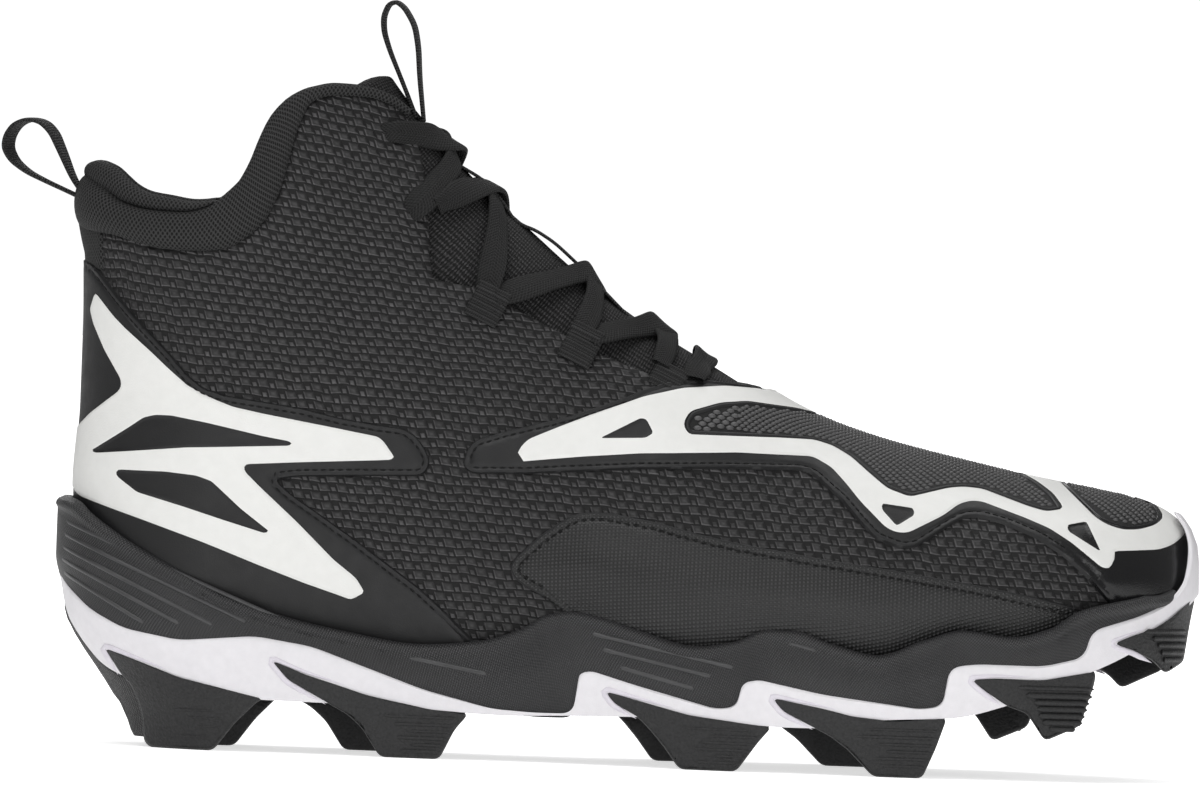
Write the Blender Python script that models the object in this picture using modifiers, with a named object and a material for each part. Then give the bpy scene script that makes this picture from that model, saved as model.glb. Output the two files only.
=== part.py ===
"""Right mid-cut field shoe with moulded studs: separate solids of sole, upper, collar, tongue and laces."""
import math

import bmesh
import bpy
import numpy as np

# Sizes are millimetres: x runs from heel to toe, y from the outer side (-) to the inner side (+),
# z up from the floor.
MM = 0.001
ORIGIN_X = 137.8
ORIGIN_Y = 0.25
GAP = 0.3
WALL = 2.2
FILM = 1.2
SOLE_HEEL = -3.8
SOLE_TOE = 298.3
UPPER_TOE = 294.3
SOLE_EDGE = 4.2
LIP_LEAN = 2.2
HEEL_ROUND = 38.0
TOE_START = 215.0
THROAT_FRONT = 183.0
THROAT_DEPTH = 30.0
STUD_DEPTH = 15.0
STUD_LEAN = 0.2
PLATE_INSET = 5.5
LACE_WIDTH = 7.0
LACE_THICK = 1.5
LACE_SEAT = -2.0
TAB_WIDTH = 9.0
KEEPER_WIDTH = 6.0
EYELET_RADIUS = 2.4


def table(names, rows):
    """Short rows turned into named columns."""
    return dict(zip(names.split(), np.array(rows, float).T))


# Plan of the upper: reach of the outer and inner side from the middle line, and where the ridge lies.
PLAN = table("x lateral medial ridge_y", [
    (0, 32, 32, 0), (40, 32, 32, 0), (70, 32.5, 31, 0.5), (100, 34, 29, 1.5), (130, 38.5, 31, 2.5),
    (160, 44, 38, 3), (190, 47, 45, 3.5), (215, 46, 47.5, 5), (240, 45, 48, 7), (262, 44, 48, 8.5),
    (298, 42, 50, 10)])

# Height of the ridge over the foot, the depth over which the section rounds off, and how blunt it is.
RIDGE = table("x z crown power", [
    (0, 297, 62, 1.5), (50, 227, 62, 1.5), (70, 199, 62, 1.5), (80, 185, 62, 1.5), (90, 171.5, 63, 1.5),
    (100, 159, 65, 1.5), (110, 149.5, 66, 1.5), (120, 141.3, 66, 1.5), (130, 132.8, 65, 1.55),
    (140, 125.2, 62, 1.6), (150, 118.4, 59, 1.65), (160, 112.6, 57, 1.7), (170, 107, 55, 1.75),
    (180, 101.2, 53, 1.8), (190, 95.6, 50, 1.85), (200, 91.2, 47, 1.9), (215, 86.6, 43, 1.95),
    (235, 82.1, 38, 2), (255, 78.2, 32, 2), (275, 75.6, 27, 2), (298, 75.6, 24, 2)])

# Width of the heel and ankle by height, as a share of the plan.
ANKLE = table("z share", [
    (20, 0.95), (30, 0.97), (45, 1), (70, 0.96), (100, 0.88), (125, 0.86), (140, 0.9), (150, 0.92),
    (185, 0.95)])

# Back line of the upper by height.
HEEL_LINE = table("z x", [
    (20, 2), (45, 1.6), (70, 1.2), (90, 2.2), (110, 2.2), (125, 1.8), (135, 1.2), (160, 1)])

# Floor inside the cup.
FLOOR = table("x z", [
    (-4, 36), (10, 34.5), (40, 34.2), (55, 32), (70, 28.6), (90, 26.4), (130, 26), (200, 26), (215, 27.2),
    (233, 32), (255, 36), (275, 42), (298, 49)])

# Free edge of the upper: under the collar, down the throat, to the front of the throat.
UPPER_EDGE = table("x z", [
    (1.2, 136.2), (8, 135.5), (15, 133.7), (22, 132.4), (30, 132.2), (38, 133), (44, 136.4), (49, 141.7),
    (52.5, 149.7), (54.5, 158.2), (56.5, 166), (59.5, 172.2), (66, 174.2), (74, 173.9), (80, 172),
    (84, 169.2), (86.6, 165.5), (88.6, 159.5), (90.4, 151), (91.6, 141), (92.4, 132), (93.4, 126.6),
    (98, 125.5), (104, 124.5), (115, 119.5), (127, 113.5), (139, 108), (150, 103.8), (160, 101.2),
    (172, 100.2), (183, 99.4)])

# Collar: lower seam and top line of the roll, its swell outward and its depth inward.
COLLAR = table("low_x low_z top_x top_z swell depth", [
    (1.2, 136.5, 1.2, 153, 3.4, 7), (3, 136.4, 3, 154.3, 3.4, 7), (8, 135.8, 8, 154.5, 3.3, 7),
    (15, 134, 15, 149.5, 3.2, 7), (22, 132.7, 21, 147, 3.1, 7), (30, 132.5, 30, 145.2, 3, 7),
    (38, 133.3, 37, 146.5, 3, 6.5), (44, 136.7, 41.5, 150, 2.8, 6), (49, 142, 44.5, 156, 2.6, 5.5),
    (52.5, 150, 47, 162.5, 2.3, 5), (54.5, 158.5, 50, 168.5, 2, 4.5), (56.3, 166.3, 54, 172.7, 1.6, 4),
    (59, 172.6, 59, 175.3, 1, 2.6), (66, 174.6, 66, 176.7, 0.8, 2.1), (74, 174.3, 74.5, 176.3, 0.8, 2),
    (80, 172.4, 81, 174.3, 0.8, 2), (84, 169.6, 86, 170.8, 0.8, 2)])

# Ends of the sole by height: heel back and toe tip.
SOLE_ENDS = table("z back tip", [
    (0, 17, 295), (3, 16.5, 295.5), (8, 15.4, 295.8), (13, 13, 296), (18.5, 9.5, 296.2), (23.5, 5.8, 296.5),
    (28.5, 2.4, 296.8), (33.5, -0.2, 297.2), (42, -2, 297.6), (50, -3.8, 298.3), (60, -3.8, 298),
    (65, -3, 296.8), (69, -1, 294.4), (73, 1, 291)])

# Underside of the sole and the wavy top edge of its side wall.
SOLE_LOW = table("x z", [
    (-3.8, 37), (-3.2, 27), (-0.9, 21), (2.2, 18.8), (8, 16.4), (20, 14.6), (53, 13.9), (68, 13.8),
    (107, 12.4), (125, 13), (151, 13.5), (187, 12.3), (198, 12.5), (213, 15), (233, 16.3), (248, 20),
    (262, 26), (272, 29.8), (282, 35), (291, 42), (298.3, 50)])
SOLE_TOP = table("x z", [
    (-3.8, 65), (0, 64), (5, 60.5), (15, 54.2), (30, 46.5), (40, 41), (50, 37.3), (70, 32.7), (90, 29.9),
    (107, 31.4), (118, 34.8), (126, 39), (132, 40.1), (140, 38.8), (150, 35.8), (165, 32.3), (175, 33.8),
    (185, 37.4), (192, 37.3), (202, 34.2), (214, 31.7), (226, 36), (237, 39), (250, 37.7), (260, 40),
    (268, 45), (285, 49.3), (290, 51), (293, 53.5), (295.5, 60), (297, 66), (298.3, 71.5)])

# Line between the white layer and the black cup, with its four steps.
WHITE_TOP = table("x z", [
    (-9, 52), (-2, 44), (0, 41.5), (6, 36), (15, 31.5), (30, 29), (50, 30.8), (65, 28.6), (95, 18.5),
    (113, 15.2), (125, 14.8), (134, 15.2), (135.4, 16.5), (135.8, 23), (137, 24.8), (139, 25.1), (150, 22),
    (172, 16.6), (176, 17.2), (178, 20), (179.5, 23.3), (183, 24.6), (200, 21.3), (226, 18.4), (230.5, 20),
    (232.3, 26), (234, 29.5), (240, 30.7), (258, 30.6), (267, 33), (269.3, 37), (272, 40.8), (283, 44.3),
    (289, 47.2), (293, 50.5), (295, 54), (296, 60), (295.6, 65), (294, 69), (291, 73), (291, 85), (310, 85)])

# How far the steps lie from the outer side's on the inner side.
STEP_SHIFT = table("x shift", [(-10, 0), (30, 0), (65, -8), (110, -8), (140, -7), (160, -9), (178, -13),
                               (240, -13), (270, -11), (283, -4), (289, 0), (320, 0)])

# Studs in side view, from the tip of the wedge on the white layer and round the block.
STUDS = {
    "heel": [(10, 26), (20, 22.8), (30, 19.5), (53, 14.3), (51, 13.2), (45.5, 7.5), (40, 0), (17.4, 0),
             (15.9, 6), (13.4, 12.5), (13.6, 19)],
    "rear": [(54.3, 24.7), (63, 21.4), (80, 16.5), (97, 13.2), (107, 12.2), (103.5, 8), (99.7, 0), (84, 0),
             (79, 7.5), (75, 11), (69.5, 13.9), (59, 19.5)],
    "waist": [(142.5, 20), (155, 17), (165, 14.7), (180, 12.9), (187, 12.2), (183.5, 8), (178, 0), (163, 0),
              (158.5, 6), (155, 10), (151.5, 13.4), (145, 16.8)],
    "ball": [(186.5, 20), (200, 17.7), (208, 16), (220, 15), (233, 16.2), (230.3, 8), (227, 0), (214, 0),
             (207, 7), (202, 10.5), (198, 12.4), (189.5, 16.5)],
    "fore": [(238.7, 26.6), (245, 27.2), (258, 27.2), (272, 29.7), (271.6, 26), (270, 21), (268.3, 15),
             (259, 10.8), (254, 18), (248, 20), (242, 24)],
    "toe": [(276, 37), (281, 38.8), (287, 40), (291, 42.2), (295.5, 46), (296.4, 42), (296.2, 36),
            (295.5, 32), (290.5, 29), (287, 32.5), (282, 35)],
}
# How far the inner side's stud lies from the outer side's, along the foot and upward.
INNER_SHIFT = {"heel": (5, 0), "rear": (-10, 0), "waist": (-7, 0), "ball": (-13, 0), "fore": (-13, -2.6),
               "toe": (-11, -5.2)}

# Ribs of the side wall: the two ends of each raised line.
RIBS = table("x0 z0 x1 z1", [
    (0, 58, 48, 34.8), (0, 53, 40, 33.6), (0, 48.6, 31, 33.4), (138, 35, 177, 27.3), (141, 31, 171, 25)])

# Outlines of the overlays in side view.
COUNTER = [(-20, 129.5), (0.5, 129), (5, 125.5), (15, 114), (25, 104), (30, 98.5), (34, 95.5), (40, 93.8),
           (60, 91.2), (80, 87.5), (87, 86.8), (92, 83), (94.5, 79), (94, 76), (92, 74.3), (75, 73.7),
           (54, 72), (65, 64), (85, 50.5), (100, 39), (106.4, 33)]
VAMP = [(103, 78.5), (104, 82), (106, 84.5), (130, 91.5), (150, 99.3), (156, 101.2), (165, 102),
        (176, 100.8), (183.5, 99), (190, 120), (288, 120)]
VAMP_LOW = [(274.4, 48.2), (268, 54.5), (262, 59.5), (255, 63.8), (247, 67), (240, 68.8), (236, 68.7),
            (232, 66.5), (223, 60.5), (219, 60), (212, 62.5), (203, 72), (195, 78.7), (192, 79.5),
            (170, 79.2), (150, 78.4), (120, 76), (106, 75.5), (104, 76.3)]
TOE_RAND = [(288, 90), (289.5, 77), (291.8, 71), (293.4, 65), (293.6, 60), (292.2, 54.8)]
SIDE_PANEL = [(116.5, 51.3), (118, 54), (125, 60.5), (133, 65.8), (137, 66.5), (142, 66.5), (165, 62),
              (195, 57), (255, 48.5), (265, 46.6)]
SIDE_PANEL_LOW = [(126, 44), (121, 46.5), (118, 48.5)]

# Lean of the sections across the throat, from the upright at the foot to level at the tongue's top.
LEAN = table("x degrees", [
    (78, 86), (83, 80), (88, 63), (96, 52), (110, 43), (130, 38), (150, 31), (170, 28), (196, 22)])

# Eyelets and webbing tabs that hold the lace, seen from the side, and the two ends of each row of lace.
EYELETS = [(76.5, 164.5), (85, 142)]
TABS = {"lace_loop_1": (108.5, 121, 5), "lace_loop_2": (133.5, 111, 5), "lace_loop_3": (157.2, 104.8, 1.2)}
LACE_ROWS = {"lace_cross_1": ((77.5, 164.5), (86, 143.5), 3.9),
             "lace_cross_2": ((95, 144), (104.5, 128.2), 1.6),
             "lace_cross_3": ((116.5, 122.2), (128.8, 117.6), 1.6),
             "lace_cross_4": ((141, 112), (150.8, 110.4), 1.6),
             "lace_bar": ((162.5, 105.4), (162.5, 105.4), 1.2)}

# Strap down the tongue over the crossings: places along the ridge and its height over the dome.
KEEPER = table("x rise", [(101.2, -1.9), (103.2, 0), (105.2, 0.75), (110, 0.9), (115.8, 0.75), (118.2, 0),
                          (120.6, -1.9), (123, 0), (125.4, 0.75), (131, 0.9), (137.6, 0.75), (140, 0),
                          (142.6, -1.9)])

# Loop paths in side view.
HEEL_LOOP = [(-2.7, 145.2), (-10, 148), (-15, 150.2), (-19, 153), (-21, 156.5), (-20.5, 160), (-18.5, 163),
             (-15, 164.4), (-11, 163.7), (-8, 161), (-5.5, 156), (-3.1, 150.2)]
TONGUE_LOOP = [(83.2, 178), (79.6, 186), (77.9, 191), (77.7, 195), (79, 198.2), (81, 199), (83.2, 197.4),
               (86, 193), (87.2, 187), (87.8, 179), (88.4, 171.4)]


def curve(data, column, x, key="x"):
    """Smooth curve through one column that keeps its rises and falls, straight beyond its ends."""
    xs, ys = data[key], data[column]
    step = np.diff(xs)
    rate = np.diff(ys) / step
    same = rate[:-1] * rate[1:] > 0
    before = np.where(same, rate[:-1], 1.0)
    after = np.where(same, rate[1:], 1.0)
    near, far = 2 * step[1:] + step[:-1], step[1:] + 2 * step[:-1]
    mean = np.where(same, (near + far) / (near / before + far / after), 0.0)
    slope = np.concatenate(([rate[0]], mean, [rate[-1]]))
    x = np.asarray(x, float)
    k = np.clip(np.searchsorted(xs, x, side="right") - 1, 0, len(xs) - 2)
    h = step[k]
    t = np.clip((x - xs[k]) / h, 0.0, 1.0)
    inside = (ys[k] * (1 + 2 * t) * (1 - t) ** 2 + h * slope[k] * t * (1 - t) ** 2
              + ys[k + 1] * t * t * (3 - 2 * t) + h * slope[k + 1] * t * t * (t - 1))
    return inside + slope[0] * np.minimum(x - xs[0], 0) + slope[-1] * np.maximum(x - xs[-1], 0)


def ease(t):
    """Rise from 0 to 1 with level ends."""
    t = np.clip(t, 0.0, 1.0)
    return t * t * (3 - 2 * t)


def rounded_end(t, power):
    """Superellipse: 0 at the tip (t = 0), 1 from t = 1 on."""
    t = np.clip(t, 0.0, 1.0)
    return (1 - (1 - t) ** power) ** (1 / power)


def ridge_z(x):
    """Height of the ridge, with the toe's own rounding."""
    x = np.asarray(x, float)
    turn = np.clip((x - 266.0) / (UPPER_TOE - 266.0), 0.0, 1.0)
    return curve(RIDGE, "z", x) - 17.0 * (1 - np.sqrt(1 - turn ** 2))


def half_width(x, z, side):
    """Reach of the upper from its ridge line at height z: plan x ankle share x crown x heel and toe ends."""
    plan = curve(PLAN, "lateral", x) + curve(PLAN, "ridge_y", x)
    if side > 0:
        plan = curve(PLAN, "medial", x) - curve(PLAN, "ridge_y", x)
    share = 1 + (curve(ANKLE, "share", z, "z") - 1) * (1 - ease((x - 70) / 60))
    slope = np.gradient(curve(RIDGE, "z", np.stack([x - 0.5, x + 0.5])), axis=0)[0]
    below = np.clip((ridge_z(x) - z) / np.sqrt(1 + slope ** 2) / curve(RIDGE, "crown", x), 0.0, 1.0)
    crown = np.sqrt(1 - (1 - below) ** curve(RIDGE, "power", x))
    heel = rounded_end((x - curve(HEEL_LINE, "x", z, "z")) / HEEL_ROUND, 2.2)
    toe = rounded_end((UPPER_TOE - x) / (UPPER_TOE - TOE_START), 2.3)
    tuck = 1 - 0.07 * (1 - ease((z - curve(FLOOR, "z", x)) / 14.0))
    return plan * share * crown * heel * toe * tuck


def upper_y(x, z, side):
    """Outer surface of the upper on one side."""
    return curve(PLAN, "ridge_y", x) + side * half_width(x, z, side)


def sole_y(x, z, side):
    """Side wall of the sole: the upper's plan let out by the edge, leaning in at the top and below."""
    back, tip = curve(SOLE_ENDS, "back", z, "z"), curve(SOLE_ENDS, "tip", z, "z")
    run = np.clip((x - back) / (tip - back), 0.0, 1.0)
    place = SOLE_HEEL + (SOLE_TOE - SOLE_HEEL) * run
    plan = curve(PLAN, "lateral", place) + curve(PLAN, "ridge_y", place)
    if side > 0:
        plan = curve(PLAN, "medial", place) - curve(PLAN, "ridge_y", place)
    low, top = curve(SOLE_LOW, "z", place), curve(SOLE_TOP, "z", place)
    lean = LIP_LEAN * ease(1 - (top - z) / 12.0) + 1.5 * ease(1 - (z - low) / 12.0)
    under = STUD_LEAN * np.maximum(low - z, 0.0)
    ends = (rounded_end((place - SOLE_HEEL) / (HEEL_ROUND + 3), 2.2)
            * rounded_end((SOLE_TOE - place) / (SOLE_TOE - TOE_START), 2.3))
    return curve(PLAN, "ridge_y", place) + side * (plan + SOLE_EDGE - lean - under) * ends


def new_object(name, vertices, faces):
    """Mesh object from millimetre points, moved to the part's origin."""
    points = (np.asarray(vertices, float) - (ORIGIN_X, ORIGIN_Y, 0.0)) * MM
    mesh = bpy.data.meshes.new(name)
    mesh.from_pydata(points.tolist(), [], faces)
    thing = bpy.data.objects.new(name, mesh)
    bpy.context.scene.collection.objects.link(thing)
    return thing


def tidy(thing, weld=0.02, flat=True):
    """Weld coincident points, drop slivers, make flat triangles and turn every face outward."""
    form = bmesh.new()
    form.from_mesh(thing.data)
    bmesh.ops.remove_doubles(form, verts=form.verts, dist=weld * MM)
    bmesh.ops.dissolve_degenerate(form, edges=form.edges, dist=0.005 * MM)
    if flat:
        bmesh.ops.triangulate(form, faces=form.faces)
    bmesh.ops.recalc_face_normals(form, faces=form.faces)
    form.to_mesh(thing.data)
    form.free()
    return thing


def slim(thing, degrees):
    """Join neighbouring faces that lie almost in one plane and keep the main body only."""
    form = bmesh.new()
    form.from_mesh(thing.data)
    bmesh.ops.remove_doubles(form, verts=form.verts, dist=0.004 * MM)
    bmesh.ops.dissolve_degenerate(form, edges=form.edges, dist=0.004 * MM)
    bmesh.ops.dissolve_limit(form, angle_limit=math.radians(degrees), verts=form.verts, edges=form.edges)
    bmesh.ops.triangulate(form, faces=form.faces)
    rest, bodies = set(form.verts), []
    while rest:
        body = {rest.pop()}
        edge = list(body)
        while edge:
            point = edge.pop()
            near = {link.other_vert(point) for link in point.link_edges} - body
            body |= near
            edge += near
        rest -= body
        bodies.append(body)
    main = max(bodies, key=len)
    bmesh.ops.delete(form, geom=[v for v in form.verts if v not in main], context="VERTS")
    form.to_mesh(thing.data)
    form.free()
    return thing


def settle(thing):
    """Replace the mesh by its modified form."""
    graph = bpy.context.evaluated_depsgraph_get()
    graph.update()
    done = bpy.data.meshes.new_from_object(thing.evaluated_get(graph))
    thing.modifiers.clear()
    thing.data = done
    return thing


def combine(thing, tool, operation):
    """Boolean of two closed solids; the tool is used up."""
    change = thing.modifiers.new(operation.lower(), "BOOLEAN")
    change.object = tool
    change.operation = operation
    change.solver = "EXACT"
    settle(thing)
    bpy.data.objects.remove(tool)
    return thing


def grid_faces(columns, rows, start=0, wrap=False):
    """Quads of a grid stored column by column."""
    turns = columns if wrap else columns - 1
    faces = []
    for i in range(turns):
        for j in range(rows - 1):
            a, b = start + i * rows + j, start + (i + 1) % columns * rows + j
            faces.append((a, b, b + 1, a + 1))
    return faces


def loft(name, rings):
    """Closed solid through rings of equal length, capped at both ends."""
    rings = np.asarray(rings, float)
    count, size = rings.shape[:2]
    faces = []
    for i in range(count - 1):
        for j in range(size):
            a, b = i * size + j, i * size + (j + 1) % size
            faces.append((a, b, b + size, a + size))
    faces.append(tuple(range(size))[::-1])
    faces.append(tuple((count - 1) * size + j for j in range(size)))
    return tidy(new_object(name, rings.reshape(-1, 3), faces))


def prism(name, outline, low=-90.0, high=90.0):
    """Side-view outline carried across the shoe."""
    flat = np.asarray(outline, float)
    ends = [np.column_stack([flat[:, 0], np.full(len(flat), y), flat[:, 1]]) for y in (low, high)]
    return loft(name, ends)


UPPER_COLUMNS = np.concatenate([
    40 * (1 - np.cos(np.linspace(0, math.pi / 2, 7))),
    [44.5, 49, 52.5, 54.5, 56.5, 60, 66, 74, 80, 84, 86.6, 88.6, 90.4, 91.6, 92.4, 93.4, 104, 115, 127, 139,
     150, 160, 172, 183, 195, 208, 222, 236, 249, 260],
    260 + (UPPER_TOE - 260) * np.sin(np.linspace(0, math.pi / 2, 8))[1:]])
UPPER_ROWS = 7


def upper_grid(side, top=None, drop=0.0):
    """Points of one side, from the floor edge up to the free edge or the ridge."""
    share = np.linspace(0, 1, UPPER_ROWS)
    low = curve(FLOOR, "z", UPPER_COLUMNS) + 0.6 - drop
    high = np.where(UPPER_COLUMNS < THROAT_FRONT - 0.01, curve(UPPER_EDGE, "z", UPPER_COLUMNS),
                    ridge_z(UPPER_COLUMNS))
    low = np.minimum(low, high - 9.0)
    if top is not None:
        high = np.minimum(high, top)
    reach = np.maximum(ridge_z(UPPER_COLUMNS) - low, 1.0)
    angle = np.arcsin(np.clip((high - low) / reach, 0.0, 1.0))
    z = low[:, None] + reach[:, None] * np.sin(angle[:, None] * share[None, :])
    back = curve(HEEL_LINE, "x", z, "z")
    x = back + (UPPER_TOE - back) * (UPPER_COLUMNS / UPPER_TOE)[:, None]
    return np.stack([x, upper_y(x, z, side), z], axis=-1)


def upper_skin(name, lift=0.0, box=None, drop=0.0):
    """Open outer surface of the upper, lifted along its normals, whole or only inside a side-view box."""
    left, right = upper_grid(-1, None, drop), upper_grid(1, None, drop)
    columns, rows = left.shape[:2]
    faces = grid_faces(columns, rows)
    faces += [face[::-1] for face in grid_faces(columns, rows, columns * rows)]
    points = np.concatenate([left.reshape(-1, 3), right.reshape(-1, 3)])
    thing = tidy(new_object(name, points, faces), flat=False)
    form = bmesh.new()
    form.from_mesh(thing.data)
    form.normal_update()
    middle = sum((v.co.y for v in form.verts)) / len(form.verts)
    side = next(f for f in form.faces if f.calc_center_median().y < -0.03)
    if side.normal.y > 0:
        bmesh.ops.reverse_faces(form, faces=form.faces)
        form.normal_update()
    moves = [(v, v.co + v.normal * lift * MM) for v in form.verts]
    for v, place in moves:
        v.co = place
    if box is not None:
        x0, z0, x1, z1, sign = box
        spare = []
        for face in form.faces:
            xs = [v.co.x / MM + ORIGIN_X for v in face.verts]
            zs = [v.co.z / MM for v in face.verts]
            ys = face.calc_center_median().y - middle
            if max(xs) < x0 or min(xs) > x1 or max(zs) < z0 or min(zs) > z1 or sign * ys < 0:
                spare.append(face)
        bmesh.ops.delete(form, geom=spare, context="FACES")
    form.to_mesh(thing.data)
    form.free()
    return thing


def thicken(thing, amount):
    """Give an open surface a wall, outward for a positive amount."""
    wall = thing.modifiers.new("wall", "SOLIDIFY")
    wall.thickness = abs(amount) * MM
    wall.offset = math.copysign(1.0, amount)
    wall.use_even_offset = True
    wall.use_rim = True
    return tidy(settle(thing))


def foot_plug(name):
    """Closed form inside the upper's wall, from just under the floor, that hollows the sole."""
    left, right = upper_grid(-1, 84.0, 0.9), upper_grid(1, 84.0, 0.9)
    middle = (left + right) / 2
    left, right = left + (middle - left) * 0.03, right + (middle - right) * 0.03
    rings = np.concatenate([left, right[:, ::-1]], axis=1)
    return loft(name, rings[1:-1])


SOLE_COLUMNS = np.concatenate([0.13 * (1 - np.cos(np.linspace(0.09, math.pi / 2, 7))),
                               np.linspace(0.13, 0.84, 24)[1:],
                               0.84 + 0.16 * np.sin(np.linspace(0, math.pi / 2 - 0.09, 8))[1:]])


def sole_clear(low, high):
    """Top edge of the side wall in side view, a little higher, as the lower bound of an overlay."""
    place = SOLE_HEEL + (SOLE_TOE - SOLE_HEEL) * SOLE_COLUMNS
    top = curve(SOLE_TOP, "z", place)
    back, tip = curve(SOLE_ENDS, "back", top, "z"), curve(SOLE_ENDS, "tip", top, "z")
    x = back + (tip - back) * SOLE_COLUMNS
    keep = (x > low) & (x < high)
    xs = np.concatenate(([low], x[keep], [high]))
    return [(a, b + GAP + 0.15) for a, b in zip(xs, np.interp(xs, x, top))]


def sole_block(name):
    """Whole sole without studs: side walls between the underside and the wavy top edge."""
    turn = SOLE_COLUMNS
    place = SOLE_HEEL + (SOLE_TOE - SOLE_HEEL) * turn
    low, top = curve(SOLE_LOW, "z", place), curve(SOLE_TOP, "z", place)
    rows = np.array([0.0, 0.16, 0.5, 0.84, 1.0])
    z = low[:, None] + (top - low)[:, None] * rows[None, :]
    back, tip = curve(SOLE_ENDS, "back", z, "z"), curve(SOLE_ENDS, "tip", z, "z")
    x = back + (tip - back) * turn[:, None]
    sides = [np.stack([x, sole_y(x, z, side), z], axis=-1) for side in (-1, 1)]
    return loft(name, np.concatenate([sides[0], sides[1][:, ::-1]], axis=1))


def let_out(outline, amount, closed=True):
    """Line moved to its left by an amount; a closed outline runs clockwise, so it grows."""
    flat = np.asarray(outline, float)
    if not amount:
        return flat
    ahead, behind = np.roll(flat, -1, axis=0) - flat, flat - np.roll(flat, 1, axis=0)
    if not closed:
        ahead[-1], behind[0] = behind[-1], ahead[0]
    ahead /= np.linalg.norm(ahead, axis=1, keepdims=True)
    behind /= np.linalg.norm(behind, axis=1, keepdims=True)
    out = np.column_stack([-(ahead + behind)[:, 1], (ahead + behind)[:, 0]])
    out /= np.linalg.norm(out, axis=1, keepdims=True)
    return flat + out * amount


def stud(name, outline, side, shift, grow):
    """One stud: its side-view outline from the side wall inward, narrower at the floor."""
    flat = let_out(outline, grow)
    x, z = flat[:, 0] + shift[0], flat[:, 1] + shift[1]
    middle = curve(PLAN, "ridge_y", x)
    reach = np.maximum(np.abs(sole_y(x, z, side) - middle), 11.0)
    outer = middle + side * (reach + 0.15 + 8 * grow)
    depth = STUD_DEPTH - 3.5 * ease(1 - z / 13.0) + grow
    inner = middle + side * np.maximum(reach - depth, 2.0 - grow)
    return loft(name, [np.column_stack([x, outer, z]), np.column_stack([x, inner, z])])


def under_sheet(name, grow):
    """Thin plate set into the underside that joins the studs."""
    place = np.concatenate([[19, 22, 26, 32], np.linspace(40, 250, 16), [260, 268, 275, 281, 285]])
    low = curve(SOLE_LOW, "z", place)
    rings = []
    for x, z in zip(place, low):
        inset = PLATE_INSET - grow
        left = float(sole_y(x, z + 1.0, -1)) + inset
        right = float(sole_y(x, z + 1.0, 1)) - inset
        bottom, top = z + 0.35 - 6 * grow, z + 2.1 + grow
        rings.append([(x, left, bottom), (x, right, bottom), (x, right, top), (x, left, top)])
    rings = np.array(rings)
    rings[0, :, 0] -= grow
    rings[-1, :, 0] += grow
    return loft(name, rings)


def heel_wrap(name, grow):
    """Rubber round the back of the heel, from the studs up to the white layer's lower edge."""
    turn = np.array([0.0006, 0.002, 0.005, 0.01, 0.017, 0.026, 0.037, 0.05])
    top = curve(SOLE_LOW, "z", SOLE_HEEL + (SOLE_TOE - SOLE_HEEL) * turn) - GAP + 1.2 * grow
    z = 11.5 - grow + (top - 11.5 + grow)[:, None] * np.array([0.0, 0.5, 1.0])
    back, tip = curve(SOLE_ENDS, "back", z, "z"), curve(SOLE_ENDS, "tip", z, "z")
    x = back + (tip - back) * turn[:, None]
    sides = [np.stack([x, sole_y(x, z, side), z], axis=-1) for side in (-1, 1)]
    return loft(name, np.concatenate([sides[0], sides[1][:, ::-1]], axis=1))


def outsole(name, grow=0.0):
    """Studs of both sides joined to the thin plate and to the rubber round the heel."""
    whole = combine(under_sheet(name, grow), heel_wrap("heel_wrap", grow), "UNION")
    for label, outline in STUDS.items():
        whole = combine(whole, stud("stud", outline, -1, (0, 0), grow), "UNION")
        whole = combine(whole, stud("stud", outline, 1, INNER_SHIFT[label], grow), "UNION")
    return whole


def above_white(name, lift):
    """Region over the line between white and black; on the inner side the steps move with the studs."""
    x, z = WHITE_TOP["x"], WHITE_TOP["z"]
    halves = []
    for shift, low, high in ((0.0, -90.0, 2.2), (curve(STEP_SHIFT, "shift", x), 1.8, 90.0)):
        line = let_out(list(zip(x + shift, z)), lift, closed=False).tolist()
        halves.append(prism(name, line + [(310, 120), (-40, 120), (-40, 52 + lift)], low, high))
    return combine(halves[0], halves[1], "UNION")


def rib(name, row, side):
    """One raised line on the side wall, tapered at both ends."""
    t = np.linspace(0, 1, 5)
    x = row[0] + (row[2] - row[0]) * t
    z = row[1] + (row[3] - row[1]) * t
    y = sole_y(x, z, side)
    rise = side * (0.25 + 0.45 * np.sin(math.pi * np.clip(t, 0.06, 0.94)))
    root = y - side * 0.8
    ring = [(x, root, z - 0.55), (x, y + rise, z - 0.2), (x, y + rise, z + 0.2), (x, root, z + 0.55)]
    return loft(name, np.array(ring).transpose(2, 0, 1))


def throat_point(x, across):
    """Place from a ridge point down the leaning section: depth = D (1 - cos(pi/2 |across|))."""
    lean = np.radians(curve(LEAN, "degrees", x))
    depth = THROAT_DEPTH * (1 - np.cos(np.abs(across) * math.pi / 2))
    px, pz = x - depth * np.sin(lean), ridge_z(x) - depth * np.cos(lean)
    reach = np.where(across < 0, -half_width(px, pz, -1), half_width(px, pz, 1))
    return np.stack([px, curve(PLAN, "ridge_y", px) + reach, pz], axis=-1)


def throat_frame(x, across):
    """Place and outward normal on the dome over the throat."""
    x, across = np.asarray(x, float), np.asarray(across, float)
    along = throat_point(x + 0.6, across) - throat_point(x - 0.6, across)
    over = throat_point(x, across + 0.03) - throat_point(x, across - 0.03)
    normal = np.cross(along, over)
    normal /= np.linalg.norm(normal, axis=-1, keepdims=True)
    return throat_point(x, across), normal * np.sign(normal[..., 2:3] + normal[..., 0:1])


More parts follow.
